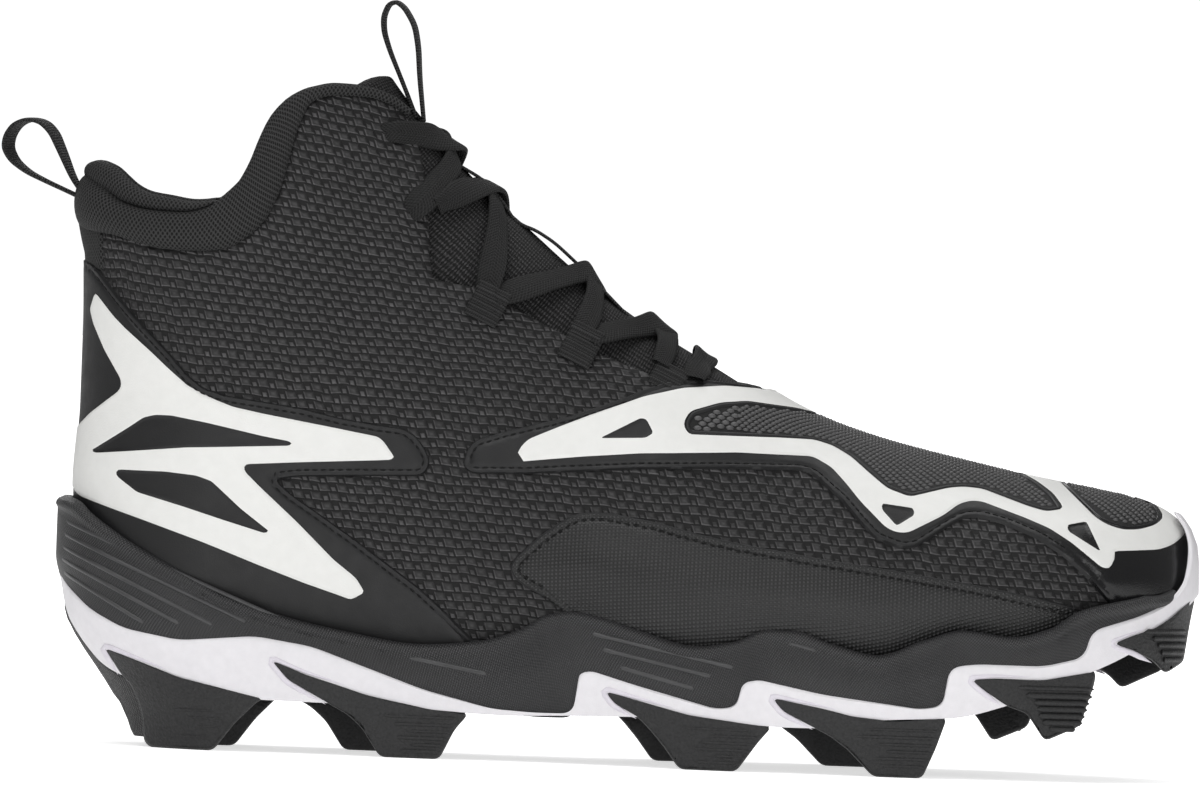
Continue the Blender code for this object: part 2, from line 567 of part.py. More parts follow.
def throat_at(place):
    """Ridge place and share across of a side-view point."""
    x = np.linspace(78, 194, 1161)
    lean = np.radians(curve(LEAN, "degrees", x))
    dx, dz = x - place[0], ridge_z(x) - place[1]
    miss = np.abs(dx * np.cos(lean) - dz * np.sin(lean))
    k = int(np.argmin(miss))
    depth = min(math.hypot(dx[k], dz[k]), THROAT_DEPTH)
    return float(x[k]), math.acos(1 - depth / THROAT_DEPTH) * 2 / math.pi


def strap(name, points, normals, width, low, high):
    """Flat band along a path on a surface."""
    points, normals = np.asarray(points, float), np.asarray(normals, float)
    ahead = np.gradient(points, axis=0)
    sideways = np.cross(normals, ahead)
    sideways /= np.linalg.norm(sideways, axis=1, keepdims=True)
    low, high = np.broadcast_to(low, len(points)), np.broadcast_to(high, len(points))
    half = sideways * width / 2
    under, over = points + normals * low[:, None], points + normals * high[:, None]
    return loft(name, np.stack([under - half, under + half, over + half * 0.9, over - half * 0.9], axis=1))


def lace_run(name, start, end, lift, rise=0.0):
    """One lace from a hold on the outer side over the ridge to a hold on the inner side."""
    (x0, q0), (x1, q1) = throat_at(start), throat_at(end)
    t = np.linspace(0, 1, 9)
    points, normals = throat_frame(x0 + (x1 - x0) * t, -q0 + (q0 + q1) * t)
    low = LACE_SEAT + (2 - ease(2.2 * t) - ease(2.2 - 2.2 * t)) * lift + rise * np.sin(math.pi * t)
    return strap(name, points, normals, LACE_WIDTH, low, low + LACE_THICK)


def lace_tab(name, place, side):
    """Webbing tab on the upper that the lace passes through, square to the throat edge."""
    run = np.linspace(-2.0, place[2], 3)
    x, z = place[0] - 0.43 * run, place[1] - 0.9 * run
    points = np.column_stack([x, upper_y(x, z, side), z])
    slope_x = upper_y(x + 0.5, z, side) - upper_y(x - 0.5, z, side)
    slope_z = upper_y(x, z + 0.5, side) - upper_y(x, z - 0.5, side)
    across = np.column_stack([np.ones_like(x), slope_x, 0 * x])
    rising = np.column_stack([0 * x, slope_z, np.ones_like(x)])
    normals = np.cross(across, rising)
    normals *= side * np.sign(normals[:, 1:2]) / np.linalg.norm(normals, axis=1, keepdims=True)
    return strap(name, points, normals, TAB_WIDTH, 0.5, 1.7)


def ring_band(name, path, thick, width, yaw):
    """Webbing bent into a loop, sewn together at its ends, a little turned about the upright."""
    path = np.asarray(path, float)
    ahead = np.gradient(path, axis=0)
    ahead /= np.linalg.norm(ahead, axis=1, keepdims=True)
    away = np.column_stack([-ahead[:, 1], ahead[:, 0]])
    t = np.linspace(-1, 1, len(path))
    twist = np.radians(yaw) * (1 - t ** 2)
    rings = []
    for p, n, a in zip(path, away, twist):
        ring = []
        for across, over in ((-1, -1), (1, -1), (1, 1), (-1, 1)):
            place = p + n * over * thick / 2
            y = across * width / 2
            ring.append((place[0] + y * math.sin(a), y * math.cos(a), place[1]))
        rings.append(ring)
    return loft(name, rings)


def tongue(name):
    """Padded knit tongue: a slab under the dome, fuller along the ridge, tucked under the vamp."""
    ridge = np.concatenate([[83.2, 86], np.linspace(92, 180, 10), [186, 192]])
    across = np.linspace(-0.86, 0.86, 7)
    x, q = np.meshgrid(ridge, across, indexing="ij")
    points, normals = throat_frame(x, q)
    depth = THROAT_DEPTH * (1 - np.cos(np.abs(q) * math.pi / 2))
    sink = (WALL + 1.2) - 0.5 * np.exp(-(depth / 2.2) ** 2) * ease((180 - x) / 14)
    outer = points - normals * sink[..., None]
    inner = points - normals * (sink + 4.6)[..., None]
    rings = np.concatenate([outer, inner[:, ::-1]], axis=1)
    return loft(name, rings)


def collar(name):
    """Padded roll between its lower seam and its top line, on both sides, joined round the heel."""
    rows = []
    share = np.array([0.0, 0.16, 0.4, 0.7, 0.9, 1.0])
    for side in (-1, 1):
        edge = upper_grid(side)[UPPER_COLUMNS < 84.1, -1]
        ahead = np.gradient(edge[:, [0, 2]], axis=0)
        ahead /= np.linalg.norm(ahead, axis=1, keepdims=True)
        low_x, low_z = edge[:, 0] - 0.5 * ahead[:, 1], edge[:, 2] + 0.5 * ahead[:, 0]
        top_x, top_z, swell, depth = (curve(COLLAR, key, edge[:, 0], "low_x")[:, None]
                                      for key in ("top_x", "top_z", "swell", "depth"))
        x = low_x[:, None] + (top_x - low_x[:, None]) * share
        z = low_z[:, None] + (top_z - low_z[:, None]) * share
        puff = swell * np.array([0.05, 0.62, 1.0, 0.9, 0.5, -0.1])
        dent = depth * np.array([0.35, 0.75, 1.0, 1.0, 0.75, 0.35])
        rows.append(np.stack([x, upper_y(x, z, side), z, puff, dent], axis=1))
    left, right = rows
    ring = np.concatenate([left[::-1], right[1:]], axis=0)
    points = np.stack([ring[:, 0], ring[:, 1], ring[:, 2]], axis=-1)
    ahead = np.gradient(points, axis=0)
    up = np.array([0.0, 0.0, 1.0])
    out = np.cross(ahead, up)
    out /= np.linalg.norm(out, axis=-1, keepdims=True)
    centre = np.array([45.0, 0.0, 0.0])
    sign = np.sign(np.sum(out * (points - centre) * (1, 1, 0), axis=-1, keepdims=True))
    out = out * sign
    outer = points + out * ring[:, 3][..., None]
    inner = points - out * ring[:, 4][..., None]
    return loft(name, np.concatenate([outer, inner[:, ::-1]], axis=1))


def overlay(name, outline, box):
    """Film on the upper, cut to its side-view outline."""
    film = thicken(upper_skin(name, GAP + 0.15, box), FILM)
    return slim(combine(film, prism("outline", outline), "INTERSECT"), 1.8)


for leftover in list(bpy.data.objects):
    bpy.data.objects.remove(leftover)

PARTS = {}

# Sole: the block is hollowed by the foot form, split along the white line, and the studs are let into it.
block = combine(sole_block("sole"), foot_plug("plug"), "DIFFERENCE")
block = combine(block, thicken(upper_skin("seat", GAP + 0.1, None, 0.6), -2.8), "DIFFERENCE")
midsole = block.copy()
midsole.data = block.data.copy()
bpy.context.scene.collection.objects.link(midsole)
midsole = combine(midsole, above_white("above", 0.0), "INTERSECT")
for side in (-1, 1):
    for row in zip(*(RIBS[key] for key in RIBS)):
        midsole = combine(midsole, rib("rib", row, side), "UNION")
midsole = combine(midsole, outsole("socket", GAP), "DIFFERENCE")
plate = combine(block, above_white("above", -GAP - 0.05), "DIFFERENCE")
plate = combine(plate, outsole("socket", GAP), "DIFFERENCE")
PARTS["outsole"] = (slim(outsole("outsole"), 1.0), (0.012, 0.012, 0.013), 0.6)
PARTS["sole_plate"] = (slim(plate, 1.2), (0.78, 0.76, 0.78), 0.4)
PARTS["midsole"] = (slim(midsole, 1.2), (0.015, 0.015, 0.016), 0.55)

# Upper: one shell, with two punched eyelets on each side.
upper = thicken(upper_skin("upper"), -WALL)
for px, pz in EYELETS:
    turn = np.linspace(0, 2 * math.pi, 11)[:-1]
    hole = [(px + EYELET_RADIUS * math.cos(a), pz + EYELET_RADIUS * math.sin(a)) for a in turn]
    upper = combine(upper, prism("hole", hole), "DIFFERENCE")
PARTS["upper"] = (slim(upper, 0.8), (0.02, 0.02, 0.021), 0.7)


def insole_form(name):
    """Footbed that fills the floor of the upper, thin and slightly dished."""
    place = np.concatenate([[7, 10, 15, 23, 33], np.linspace(45, 250, 15), [260, 269, 276, 281.5, 285]])
    rings = []
    for x in place:
        z = float(curve(FLOOR, "z", x)) + 0.6
        room = (WALL + 0.7) * (1 + 0.9 * ease((30 - x) / 24) + 0.9 * ease((x - 245) / 40))
        left = float(upper_y(x, z + 0.3, -1)) + room
        right = float(upper_y(x, z + 0.3, 1)) - room
        rings.append([(x, left, z), (x, right, z), (x, right, z + 3.4), (x, (left + right) / 2, z + 2.8),
                      (x, left, z + 3.4)])
    return loft(name, rings)


PARTS["insole"] = (insole_form("insole"), (0.03, 0.03, 0.03), 0.9)
PARTS["tongue"] = (tongue("tongue"), (0.015, 0.015, 0.015), 0.9)
PARTS["collar"] = (collar("collar"), (0.015, 0.015, 0.015), 0.85)

# Overlays on the upper.
counter_outline = COUNTER + sole_clear(-20.0, 106.8)[::-1]
counter = overlay("heel_counter", counter_outline, (-10, 20, 110, 133, 0))
PARTS["heel_counter"] = (counter, (0.02, 0.02, 0.02), 0.35)
vamp_outline = VAMP + TOE_RAND + sole_clear(275.6, 288.0)[::-1] + VAMP_LOW
vamp = overlay("vamp_overlay", vamp_outline, (98, 40, 310, 130, 0))
PARTS["vamp_overlay"] = (vamp, (0.02, 0.02, 0.02), 0.3)
panel_outline = SIDE_PANEL + sole_clear(134.0, 266.0)[::-1] + SIDE_PANEL_LOW
for label, side in (("lateral", -1), ("medial", 1)):
    panel = overlay("side_panel_" + label, panel_outline, (112, 25, 272, 70, side))
    PARTS["side_panel_" + label] = (panel, (0.018, 0.018, 0.018), 0.6)

# Pull loops.
for label, path, wide, yaw in (("heel_pull_loop", HEEL_LOOP, 10.0, 12.0),
                               ("tongue_pull_loop", TONGUE_LOOP, 9.0, 5.0)):
    PARTS[label] = (ring_band(label, path, 1.2, wide, yaw), (0.01, 0.01, 0.01), 0.8)

# Lace: crossings of two runs each, a bar at the front, and the webbing tabs that hold them.
for label, (high, low, lift) in LACE_ROWS.items():
    lace = lace_run(label, high, low, lift)
    if high != low:
        lace = combine(lace, lace_run("run", low, high, lift, 0.5), "UNION")
    PARTS[label] = (lace, (0.008, 0.008, 0.008), 0.8)
for label, place in TABS.items():
    for word, side in (("lateral", -1), ("medial", 1)):
        PARTS[label + "_" + word] = (lace_tab(label, place, side), (0.01, 0.01, 0.01), 0.8)
points, normals = throat_frame(KEEPER["x"], np.zeros(len(KEEPER["x"])))
keeper = strap("lace_keeper", points, normals, KEEPER_WIDTH, KEEPER["rise"], KEEPER["rise"] + 0.8)
PARTS["lace_keeper"] = (keeper, (0.01, 0.01, 0.01), 0.8)

group = bpy.data.collections.new("baseball_cleat")
bpy.context.scene.collection.children.link(group)
for label, (thing, colour, rough) in PARTS.items():
    thing.name = label
    thing.data.name = label
    for other in list(thing.users_collection):
        other.objects.unlink(thing)
    group.objects.link(thing)
    look = bpy.data.materials.new(label)
    look.use_nodes = True
    shader = look.node_tree.nodes["Principled BSDF"]
    shader.inputs["Base Color"].default_value = (*colour, 1.0)
    shader.inputs["Roughness"].default_value = rough
    thing.data.materials.clear()
    thing.data.materials.append(look)
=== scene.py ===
"""Looks of a right mid-cut field shoe with moulded studs: sole, upper, overlays, collar, tongue and laces."""
import math

import bmesh
import bpy
import numpy as np
from mathutils import Matrix, Vector
from mathutils.geometry import delaunay_2d_cdt


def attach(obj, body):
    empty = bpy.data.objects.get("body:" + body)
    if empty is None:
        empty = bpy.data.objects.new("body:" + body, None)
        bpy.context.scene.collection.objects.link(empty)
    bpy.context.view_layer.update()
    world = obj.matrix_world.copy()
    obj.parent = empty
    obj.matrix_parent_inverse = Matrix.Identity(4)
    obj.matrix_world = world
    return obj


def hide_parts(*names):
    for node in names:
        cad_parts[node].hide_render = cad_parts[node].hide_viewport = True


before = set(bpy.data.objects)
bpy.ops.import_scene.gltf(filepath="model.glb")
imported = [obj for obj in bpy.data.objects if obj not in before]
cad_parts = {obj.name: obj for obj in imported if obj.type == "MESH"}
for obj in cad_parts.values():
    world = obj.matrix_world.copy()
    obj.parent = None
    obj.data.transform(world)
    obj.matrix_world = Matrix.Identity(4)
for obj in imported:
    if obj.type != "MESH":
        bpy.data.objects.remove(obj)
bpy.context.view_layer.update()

# OUTSOLE
# Black rubber studs moulded in one with a thin plate that is set into the underside of the shoe.
# Each stud is a wedge that climbs the side wall and a block that stands on the floor.
MM = 0.001
ORIGIN = np.array([137.8, 0.25, 0.0])
SOLE_HEEL, SOLE_TOE, UPPER_TOE = -3.8, 298.3, 294.3
SOLE_EDGE, LIP_LEAN, STUD_LEAN, STUD_DEPTH = 4.2, 2.2, 0.2, 15.0
HEEL_ROUND, TOE_START = 38.0, 215.0
PLATE_INSET, STUD_PROUD, STUD_LEAST = 5.5, 1.1, 11.0


def table(names, rows):
    """Short rows turned into named columns."""
    return dict(zip(names.split(), np.array(rows, float).T))


PLAN = table("x lateral medial ridge_y", [
    (0, 32, 32, 0), (40, 32, 32, 0), (70, 32.5, 31, 0.5), (100, 34, 29, 1.5), (130, 38.5, 31, 2.5),
    (160, 44, 38, 3), (190, 47, 45, 3.5), (215, 46, 47.5, 5), (240, 45, 48, 7), (262, 44, 48, 8.5),
    (298, 42, 50, 10)])
SOLE_ENDS = table("z back tip", [
    (0, 17, 295), (3, 16.5, 295.5), (8, 15.4, 295.8), (13, 13, 296), (18.5, 9.5, 296.2), (23.5, 5.8, 296.5),
    (28.5, 2.4, 296.8), (33.5, -0.2, 297.2), (42, -2, 297.6), (50, -3.8, 298.3), (60, -3.8, 298),
    (65, -3, 296.8), (69, -1, 294.4), (73, 1, 291)])
SOLE_LOW = table("x z", [
    (-3.8, 37), (-3.2, 27), (-0.9, 21), (2.2, 18.8), (8, 16.4), (20, 14.6), (53, 13.9), (68, 13.8),
    (107, 12.4), (125, 13), (151, 13.5), (187, 12.3), (198, 12.5), (213, 15), (233, 16.3), (248, 20),
    (262, 26), (272, 29.8), (282, 35), (291, 42), (298.3, 50)])
SOLE_TOP = table("x z", [
    (-3.8, 65), (0, 64), (5, 60.5), (15, 54.2), (30, 46.5), (40, 41), (50, 37.3), (70, 32.7), (90, 29.9),
    (107, 31.4), (118, 34.8), (126, 39), (132, 40.1), (140, 38.8), (150, 35.8), (165, 32.3), (175, 33.8),
    (185, 37.4), (192, 37.3), (202, 34.2), (214, 31.7), (226, 36), (237, 39), (250, 37.7), (260, 40),
    (268, 45), (285, 49.3), (290, 51), (293, 53.5), (295.5, 60), (297, 66), (298.3, 71.5)])
STUDS = {
    "heel": [(10, 26), (20, 22.8), (30, 19.5), (53, 14.3), (51, 13.2), (45.5, 7.5), (40, 0), (23, 0),
             (21.5, 1.5), (20.8, 8), (19.3, 12.8), (17, 16.9), (14.6, 19.1)],
    "rear": [(54.3, 24.7), (63, 21.4), (80, 16.5), (97, 13.2), (107, 12.2), (103.5, 8), (99.7, 0), (84, 0),
             (79, 7.5), (75, 11), (69.5, 13.9), (59, 19.5)],
    "waist": [(142.5, 20), (155, 17), (165, 14.7), (180, 12.9), (187, 12.2), (183.5, 8), (178, 0), (163, 0),
              (158.5, 6), (155, 10), (151.5, 13.4), (145, 16.8)],
    "ball": [(186.5, 20), (200, 17.7), (208, 16), (220, 15), (233, 16.2), (230.3, 8), (227, 0), (214, 0),
             (207, 7), (202, 10.5), (198, 12.4), (189.5, 16.5)],
    "fore": [(238.7, 26.6), (245, 27.2), (258, 27.2), (272, 29.7), (271.6, 26), (270, 21), (268.3, 15),
             (259, 10.8), (254, 18), (248, 20), (242, 24)],
    "toe": [(276, 37), (281, 39.2), (287, 41.3), (291, 43.8), (295, 47.2), (298, 49.9), (297, 43.8),
            (296.3, 38.9), (295.7, 34.6), (295.4, 32.2), (290.4, 29), (287, 32.5), (282, 35)],
    "toe_inner": [(265, 31.8), (270, 33.6), (276, 34.8), (284, 37), (291, 41), (292, 36), (290.3, 29.3),
                  (279.5, 23.8), (276, 27.3), (271, 29.8)],
}
INNER_SHIFT = {"heel": (5, 0), "rear": (-10, 0), "waist": (-7, 0), "ball": (-13, 0), "fore": (-13, -2.6),
               "toe_inner": (0, 0)}
# Raised bars on the studs' outer faces: height of each bar, its two ends and its half thickness.
STUD_BARS = {
    "heel": [(10.6, 29, 40, 0.22), (8.6, 33, 43, 0.2), (6.4, 36, 42, 0.2), (3.6, 31, 39, 0.2)],
    "rear": [(11, 84, 104.3, 0.32), (9, 87, 103.4, 0.35), (7.2, 91, 102.6, 0.3), (5.4, 88, 101.6, 0.42),
             (3.6, 92, 100.9, 0.35), (1.9, 89, 100, 0.4)],
    "waist": [(11, 163, 181, 0.28), (9.2, 171, 183.5, 0.32), (7.4, 168, 182.8, 0.3), (5.6, 166, 181.5, 0.32),
              (3.9, 172, 180.3, 0.3), (2.2, 167, 179, 0.28)],
    "ball": [(12.6, 212, 231.4, 0.3), (10.6, 209, 230.8, 0.35), (8.7, 215, 230, 0.32),
             (6.8, 217, 229.4, 0.35), (4.9, 214, 228.6, 0.35), (3, 216, 227.8, 0.32)],
    "fore": [(24.8, 251, 271.6, 0.55), (22.8, 253.2, 271.2, 0.8), (21, 255.6, 270.5, 0.8),
             (19.3, 256.5, 270, 0.8), (17.5, 257, 269.4, 0.8), (15.8, 258, 268.8, 0.75),
             (14.1, 260, 267, 0.6)],
    "toe": [(40.3, 284.5, 295.9, 0.6), (38.5, 286.6, 296, 0.75), (36.7, 288, 296, 0.75),
            (34.8, 289, 295.7, 0.75), (32.9, 289.8, 295.2, 0.7)],
    "toe_inner": [(35.1, 273.5, 284, 0.6), (33.3, 275.6, 286, 0.7), (31.5, 277, 288, 0.7),
                  (29.6, 278, 287, 0.7)],
}
# Lower edge of the white layer: its own line round the heel, then the underside of the sole.
WHITE_HEEL = table("x z", [
    (-3.8, 38), (-2.74, 30.5), (-1.96, 25.9), (-0.87, 22.3), (0.91, 20.1), (2.45, 19.15)])
WHITE_LOW = {key: np.concatenate([WHITE_HEEL[key], SOLE_LOW[key][4:]]) for key in ("x", "z")}


def curve(data, column, x, key="x"):
    """Cubic through one column with slopes that keep its rises and falls, straight beyond its ends."""
    xs, ys = data[key], data[column]
    step = np.diff(xs)
    rate = np.diff(ys) / step
    same = rate[:-1] * rate[1:] > 0
    before, after = np.where(same, rate[:-1], 1.0), np.where(same, rate[1:], 1.0)
    near, far = 2 * step[1:] + step[:-1], step[1:] + 2 * step[:-1]
    mean = np.where(same, (near + far) / (near / before + far / after), 0.0)
    slope = np.concatenate(([rate[0]], mean, [rate[-1]]))
    x = np.asarray(x, float)
    k = np.clip(np.searchsorted(xs, x, side="right") - 1, 0, len(xs) - 2)
    h = step[k]
    t = np.clip((x - xs[k]) / h, 0.0, 1.0)
    inside = (ys[k] * (1 + 2 * t) * (1 - t) ** 2 + h * slope[k] * t * (1 - t) ** 2
              + ys[k + 1] * t * t * (3 - 2 * t) + h * slope[k + 1] * t * t * (t - 1))
    return inside + slope[0] * np.minimum(x - xs[0], 0) + slope[-1] * np.maximum(x - xs[-1], 0)


def ease(t):
    """3t^2 - 2t^3 between 0 and 1."""
    t = np.clip(t, 0.0, 1.0)
    return t * t * (3 - 2 * t)


def rounded_end(t, power):
    """Superellipse (1 - (1 - t)^p)^(1/p): 0 at the tip, 1 from t = 1 on."""
    t = np.clip(t, 0.0, 1.0)
    return (1 - (1 - t) ** power) ** (1 / power)


def unit(rows):
    """Vectors brought to length 1."""
    return rows / np.maximum(np.linalg.norm(rows, axis=-1, keepdims=True), 1e-9)


def lengths(line):
    """Length along a line at each of its points."""
    return np.concatenate([[0], np.cumsum(np.linalg.norm(np.diff(line, axis=0), axis=1))])


def sole_y(x, z, side):
    """Side wall: (plan reach + edge - lean - under) x heel and toe ends, outward from the ridge line."""
    back, tip = curve(SOLE_ENDS, "back", z, "z"), curve(SOLE_ENDS, "tip", z, "z")
    run = np.clip((x - back) / (tip - back), 0.0, 1.0)
    place = SOLE_HEEL + (SOLE_TOE - SOLE_HEEL) * run
    middle = curve(PLAN, "ridge_y", place)
    plan = curve(PLAN, "lateral", place) + middle if side < 0 else curve(PLAN, "medial", place) - middle
    low, top = curve(SOLE_LOW, "z", place), curve(SOLE_TOP, "z", place)
    lean = LIP_LEAN * ease(1 - (top - z) / 12.0) + 1.5 * ease(1 - (z - low) / 12.0)
    under = STUD_LEAN * np.maximum(low - z, 0.0)
    ends = (rounded_end((place - SOLE_HEEL) / (HEEL_ROUND + 3), 2.2)
            * rounded_end((SOLE_TOE - place) / (SOLE_TOE - TOE_START), 2.3))
    return middle + side * (plan + SOLE_EDGE - lean - under) * ends


def rounded(points, radius, step, closed=True):
    """Polyline with a parabola of the given reach in each corner, at even steps along its length."""
    p = np.asarray(points, float)
    before, after = np.roll(p, 1, axis=0) - p, np.roll(p, -1, axis=0) - p
    long_b = np.linalg.norm(before, axis=1, keepdims=True) + 1e-9
    long_a = np.linalg.norm(after, axis=1, keepdims=True) + 1e-9
    reach = np.minimum(radius, 0.45 * np.minimum(long_b, long_a))
    if not closed:
        reach[[0, -1]] = 0.0
    t = np.linspace(0, 1, 7)[None, :, None]
    enter, leave = (p + before / long_b * reach)[:, None], (p + after / long_a * reach)[:, None]
    line = ((1 - t) ** 2 * enter + 2 * t * (1 - t) * p[:, None] + t ** 2 * leave).reshape(-1, p.shape[1])
    if closed:
        line = np.concatenate([line, line[:1]])
    run = lengths(line)
    count = max(4, int(round(run[-1] / step)))
    at = np.linspace(0, run[-1], count + 1)
    even = np.stack([np.interp(at, run, line[:, k]) for k in range(p.shape[1])], axis=-1)
    return even[:-1] if closed else even


def quads(rows, columns, wrap_rows=False, wrap_columns=False):
    """Corner numbers of a grid's quads, point number = row x columns + column."""
    last_row, last_column = rows - (not wrap_rows), columns - (not wrap_columns)
    i, j = np.meshgrid(np.arange(last_row), np.arange(last_column), indexing="ij")
    a, b = i * columns, (i + 1) % rows * columns
    c = (j + 1) % columns
    return np.stack([a + j, b + j, b + c, a + c], axis=-1).reshape(-1, 4)


def copies(corner, points, count):
    """Corner numbers of a patch made several times, each time with its own points."""
    return (corner + points * np.arange(count)[:, None, None]).reshape(-1, 4)


def add_piece(name, patches, looks, replaced=(), sharp=40.0, weld=0.01, outward=None, marks=None):
    """Mesh of patches (points mm, faces, uv mm, look number of each face), welded and turned outward."""
    points, faces, uv, number, start = [], [], [], [], 0
    for grid, corner, place, which in patches:
        grid, place = np.asarray(grid, float).reshape(-1, 3), np.asarray(place, float).reshape(-1, 2)
        points.append(grid)
        faces += (corner + start).tolist()
        uv.append(place[corner.ravel()])
        number.append(np.broadcast_to(which, len(corner)))
        start += len(grid)
    mesh = bpy.data.meshes.new(name)
    mesh.from_pydata(((np.concatenate(points) - ORIGIN) * MM).tolist(), [], faces)
    mesh.uv_layers.new(name="UVMap").data.foreach_set("uv", np.concatenate(uv).astype(np.float32).ravel())
    mesh.polygons.foreach_set("material_index", np.concatenate(number).astype(np.int32))
    for label, values in (marks or {}).items():
        mark = mesh.attributes.new(label, "FLOAT", "POINT")
        mark.data.foreach_set("value", values.astype(np.float32).ravel())
    form = bmesh.new()
    form.from_mesh(mesh)
    bmesh.ops.remove_doubles(form, verts=form.verts, dist=weld * MM)
    bmesh.ops.dissolve_degenerate(form, edges=form.edges, dist=0.001 * MM)
    bmesh.ops.recalc_face_normals(form, faces=form.faces)
    if outward is not None:
        where, facing = Vector(outward[0]), Vector(outward[1])
        probe = min(form.faces, key=lambda f: (f.calc_center_median() - where).length)
        if probe.normal.dot(facing) < 0:
            bmesh.ops.reverse_faces(form, faces=form.faces)
    form.to_mesh(mesh)
    form.free()
    mesh.shade_smooth()
    mesh.set_sharp_from_angle(angle=math.radians(sharp))
    thing = bpy.data.objects.new(name, mesh)
    bpy.context.scene.collection.objects.link(thing)
    for look in looks:
        mesh.materials.append(look)
    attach(thing, "root")
    if replaced:
        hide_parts(*replaced)
    return thing


def calc(tree, operation, first, second=0.0, third=0.0):
    """Math node on numbers or sockets."""
    made = tree.nodes.new("ShaderNodeMath")
    made.operation = operation
    for socket, value in zip(made.inputs, (first, second, third)):
        if hasattr(value, "links"):
            tree.links.new(value, socket)
        else:
            socket.default_value = value
    return made.outputs[0]


def start_look(name, colour, rough, specular=0.5):
    """Material with one Principled shader; returns it with its tree and shader."""
    look = bpy.data.materials.new(name)
    look.use_nodes = True
    shader = look.node_tree.nodes["Principled BSDF"]
    shader.inputs["Base Color"].default_value = (*colour, 1.0)
    shader.inputs["Roughness"].default_value = rough
    shader.inputs["Specular IOR Level"].default_value = specular
    return look, look.node_tree, shader


def coordinates(tree, source="UV"):
    """Separate x, y, z sockets of the UV map (mm) or of object space (m)."""
    node = tree.nodes.new("ShaderNodeTexCoord")
    parts = tree.nodes.new("ShaderNodeSeparateXYZ")
    tree.links.new(node.outputs[source], parts.inputs[0])
    return parts.outputs


def noise(tree, scale, detail=2.0, source="Object"):
    """Noise value at a scale in object space (per metre) or on the UV map (per mm)."""
    node, where = tree.nodes.new("ShaderNodeTexNoise"), tree.nodes.new("ShaderNodeTexCoord")
    tree.links.new(where.outputs[source], node.inputs["Vector"])
    node.inputs["Scale"].default_value = scale
    node.inputs["Detail"].default_value = detail
    return node.outputs["Fac"]


def ramp(tree, value, low, high, start=0.0, end=1.0):
    """Value mapped from low..high to start..end, held at both ends."""
    node = tree.nodes.new("ShaderNodeMapRange")
    tree.links.new(value, node.inputs["Value"])
    for label, number in (("From Min", low), ("From Max", high), ("To Min", start), ("To Max", end)):
        node.inputs[label].default_value = number
    return node.outputs["Result"]


def tint(tree, shader, value, dark, light):
    """Base colour between two tones by a value."""
    node = tree.nodes.new("ShaderNodeMix")
    node.data_type = "RGBA"
    tree.links.new(value, node.inputs["Factor"])
    node.inputs[6].default_value = (*dark, 1.0)
    node.inputs[7].default_value = (*light, 1.0)
    tree.links.new(node.outputs[2], shader.inputs["Base Color"])


def stripes(tree, along, across, lean, rate):
    """Sine of (along + lean x across) x rate."""
    return calc(tree, "SINE", calc(tree, "MULTIPLY", calc(tree, "MULTIPLY_ADD", across, lean, along), rate))


def bump(tree, shader, height, depth_mm, strength=1.0):
    """Height in 0..1 pressed into the surface to a depth."""
    node = tree.nodes.new("ShaderNodeBump")
    node.inputs["Strength"].default_value = strength
    node.inputs["Distance"].default_value = depth_mm * MM
    tree.links.new(height, node.inputs["Height"])
    tree.links.new(node.outputs["Normal"], shader.inputs["Normal"])


rubber, tree, shader = start_look("stud_rubber", (0.020, 0.020, 0.021), 0.55, 0.4)
u, v, _ = coordinates(tree)
upright = tree.nodes.new("ShaderNodeAttribute")
upright.attribute_name = "upright"
ribs, hatch = stripes(tree, u, v, 0.25, 6.0), stripes(tree, v, u, -0.6, 7.0)
ribs = calc(tree, "MULTIPLY", calc(tree, "MULTIPLY_ADD", hatch, 0.6, ribs), upright.outputs["Fac"])
grain = noise(tree, 1500.0, 3.0)
bump(tree, shader, calc(tree, "MULTIPLY_ADD", ribs, 0.35, grain), 0.32)
tint(tree, shader, grain, (0.005, 0.005, 0.0055), (0.027, 0.027, 0.0275))
tree.links.new(ramp(tree, grain, 0.3, 0.7, 0.62, 0.45), shader.inputs["Roughness"])


def wall_point(x, z, side, lift=0.0, least=0.0, sideways=False):
    """Point of the side wall over a side-view place, let out along its level normal or straight sideways."""
    slope = np.clip((sole_y(x + 1e-3, z, side) - sole_y(x - 1e-3, z, side)) / 2e-3 * side, -6, 6)
    size = np.sqrt(1 + slope ** 2)
    middle = curve(PLAN, "ridge_y", x)
    reach = np.maximum(np.abs(sole_y(x, z, side) - middle), least)
    lift = np.broadcast_to(lift, x.shape)
    if sideways:
        return np.stack([x, middle + side * (reach + lift * np.minimum(size, 2.2)), z], axis=-1)
    return np.stack([x - slope / size * lift, middle + side * (reach + lift / size), z], axis=-1)


